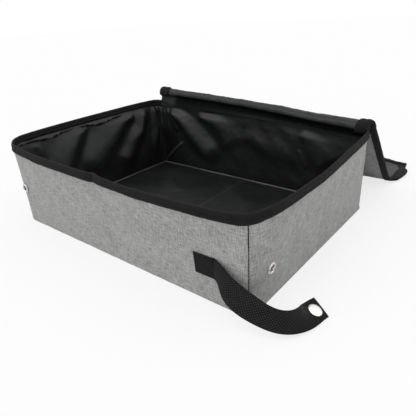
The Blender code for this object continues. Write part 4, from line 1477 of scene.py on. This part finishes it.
def make_snaps():
    """Cap and socket at the strap's end, and a stud on the right and on the front wall."""
    middle, ahead, wide = (part[0] for part in strap_frames(np.array([snap_share])))
    facing = np.cross(wide, ahead)
    if facing[2] < 0:
        facing = -facing
    fasten("snap_cap", cap_outline, "metal", middle, facing, "strap")
    fasten("snap_socket", socket_outline, "metal", middle, facing, "strap")
    for node, place, height, body in (("side_stud", 0.4350, 0.043, "right_side_front"),
                                      ("front_stud", 0.010, 0.054, "front_wall")):
        where = np.array([place]), np.array([height])
        base, out = wall_point(*where)[0], wall_out(*where)[0]
        fasten(node, stud_outline, "stud", base, out, body)
        fasten(node + "_eyelet", eyelet_outline, "metal", base - out * 0.0022, out, body)


# ---- Stage ----
# The photograph's camera: its place in metres, its yaw, pitch and roll in degrees, and how many
# picture widths lie between the lens and the picture
camera_place = (0.375907, -0.415533, 0.277048)
camera_angles = (-39.759, 25.702, -3.231)
camera_reach = 412.446 / 416
sensor_width = 36
# Lamps as (name, direction that they stand in, spread in degrees, strength)
lamps = (("key_lamp", (-0.35, -0.75, 1.0), 55, 1.15), ("top_lamp", (0.5, 0.3, 1.0), 80, 0.75))


def make_camera():
    """The camera, standing where the photograph was taken from."""
    yaw, pitch, roll = (math.radians(angle) for angle in camera_angles)
    ahead = Vector((math.sin(yaw) * math.cos(pitch), math.cos(yaw) * math.cos(pitch),
                    -math.sin(pitch)))
    side = Vector((math.cos(yaw), -math.sin(yaw), 0))
    up = side.cross(ahead)
    right = side * math.cos(roll) + up * math.sin(roll)
    above = up * math.cos(roll) - side * math.sin(roll)
    camera = bpy.data.objects.new("photo_camera", bpy.data.cameras.new("photo_camera"))
    bpy.context.scene.collection.objects.link(camera)
    camera.data.sensor_width = sensor_width
    camera.data.lens = camera_reach * sensor_width
    turn = Matrix((right, above, -ahead)).transposed().to_4x4()
    turn.translation = Vector(camera_place)
    camera.matrix_world = turn
    bpy.context.scene.camera = camera


def make_stage():
    """Camera, soft lamps and a plain pale floor."""
    scene = bpy.context.scene
    scene.view_settings.view_transform = "Standard"
    make_camera()

    clear_selection()
    bpy.ops.mesh.primitive_plane_add(size=16, location=(0, 0, 0))
    floor = bpy.context.object
    floor.name = "pale_floor"
    f = Finish("pale_floor")
    grain = f.noise(f.space_place(), 3.0)
    matt = f.node("BsdfDiffuse", {"Color": f.mix(grain, (0.90, 0.90, 0.90, 1),
                                                 (0.93, 0.93, 0.93, 1))})
    glow = f.node("Emission", {"Color": (1, 1, 1, 1), "Strength": 1.0})
    floor.data.materials.append(
        f.close(f.node("MixShader", {0: f.eye_rays() * 0.75, 1: matt, 2: glow})))

    f = Finish("studio", "worlds")
    soft, bright = (f.node("Background", {"Color": (1, 1, 1, 1), "Strength": strength})
                    for strength in (0.55, 1.0))
    scene.world = f.close(f.node("MixShader", {0: f.eye_rays(), 1: soft, 2: bright}),
                          "OutputWorld")

    for name, place, spread, strength in lamps:
        lamp = bpy.data.lights.new(name, "SUN")
        lamp.angle = math.radians(spread)
        lamp.energy = strength
        holder = bpy.data.objects.new(name, lamp)
        scene.collection.objects.link(holder)
        holder.location = place
        holder.rotation_euler = Vector(place).to_track_quat("Z", "Y").to_euler()


# ---- Sidebar ----
class Step:
    """One piece of the work, run by a button.  Each step names the function that does it."""

    bl_options = {"REGISTER", "UNDO"}

    def execute(self, context):
        self.work()
        return {"FINISHED"}


class LITTER_BOX_OT_stage(Step, bpy.types.Operator):
    """Adds the camera, the lamps and the floor"""

    bl_idname = "litter_box.stage"
    bl_label = "Stage"
    work = staticmethod(make_stage)


class LITTER_BOX_OT_walls(Step, bpy.types.Operator):
    """Adds the outer cloth of every wall"""

    bl_idname = "litter_box.walls"
    bl_label = "Walls"
    work = staticmethod(make_walls)


class LITTER_BOX_OT_boards(Step, bpy.types.Operator):
    """Adds the boards inside the bowed walls"""

    bl_idname = "litter_box.boards"
    bl_label = "Boards"
    work = staticmethod(make_boards)


class LITTER_BOX_OT_linings(Step, bpy.types.Operator):
    """Adds the loose satin of every wall"""

    bl_idname = "litter_box.linings"
    bl_label = "Wall linings"
    work = staticmethod(make_linings)


class LITTER_BOX_OT_rim(Step, bpy.types.Operator):
    """Adds the tape and its stitches along the rim"""

    bl_idname = "litter_box.rim"
    bl_label = "Rim tape"
    work = staticmethod(make_rim)


class LITTER_BOX_OT_floor(Step, bpy.types.Operator):
    """Adds the satin on the floor"""

    bl_idname = "litter_box.floor"
    bl_label = "Floor"
    work = staticmethod(make_floor)


class LITTER_BOX_OT_lid(Step, bpy.types.Operator):
    """Adds the open lid with its boards and tapes"""

    bl_idname = "litter_box.lid"
    bl_label = "Lid"
    work = staticmethod(make_lid)


class LITTER_BOX_OT_strap(Step, bpy.types.Operator):
    """Adds the webbing strap and its sewn tab"""

    bl_idname = "litter_box.strap"
    bl_label = "Strap"
    work = staticmethod(make_strap)


class LITTER_BOX_OT_snaps(Step, bpy.types.Operator):
    """Adds the snap and the two studs"""

    bl_idname = "litter_box.snaps"
    bl_label = "Snaps"
    work = staticmethod(make_snaps)


class LITTER_BOX_OT_solids(Step, bpy.types.Operator):
    """Gives the solids that stay in view their finish"""

    bl_idname = "litter_box.solids"
    bl_label = "Solids in view"
    work = staticmethod(make_kept_nodes)


build_steps = (
    LITTER_BOX_OT_stage, LITTER_BOX_OT_walls, LITTER_BOX_OT_boards, LITTER_BOX_OT_linings,
    LITTER_BOX_OT_rim, LITTER_BOX_OT_floor, LITTER_BOX_OT_lid, LITTER_BOX_OT_strap,
    LITTER_BOX_OT_snaps, LITTER_BOX_OT_solids,
)


class LITTER_BOX_PT_build(bpy.types.Panel):
    """Lists the steps that dress the litter box."""

    bl_idname = "LITTER_BOX_PT_build"
    bl_label = "Litter box"
    bl_space_type = "VIEW_3D"
    bl_region_type = "UI"
    bl_category = "Litter box"

    def draw(self, context):
        for group in (context.scene.litter_box_sizes, context.scene.litter_box_colours):
            for name in group.__annotations__:
                self.layout.prop(group, name)
        for step in build_steps:
            self.layout.operator(step.bl_idname)


classes = (LitterBoxColours, LitterBoxSizes, *build_steps, LITTER_BOX_PT_build)


def register():
    for item in classes:
        bpy.utils.register_class(item)
    bpy.types.Scene.litter_box_colours = bpy.props.PointerProperty(type=LitterBoxColours)
    bpy.types.Scene.litter_box_sizes = bpy.props.PointerProperty(type=LitterBoxSizes)


def unregister():
    del bpy.types.Scene.litter_box_sizes
    del bpy.types.Scene.litter_box_colours
    for item in reversed(classes):
        bpy.utils.unregister_class(item)


def main():
    register()
    for step in build_steps:
        getattr(bpy.ops.litter_box, step.bl_idname.split(".")[1])()


if __name__ == "__main__":
    main()
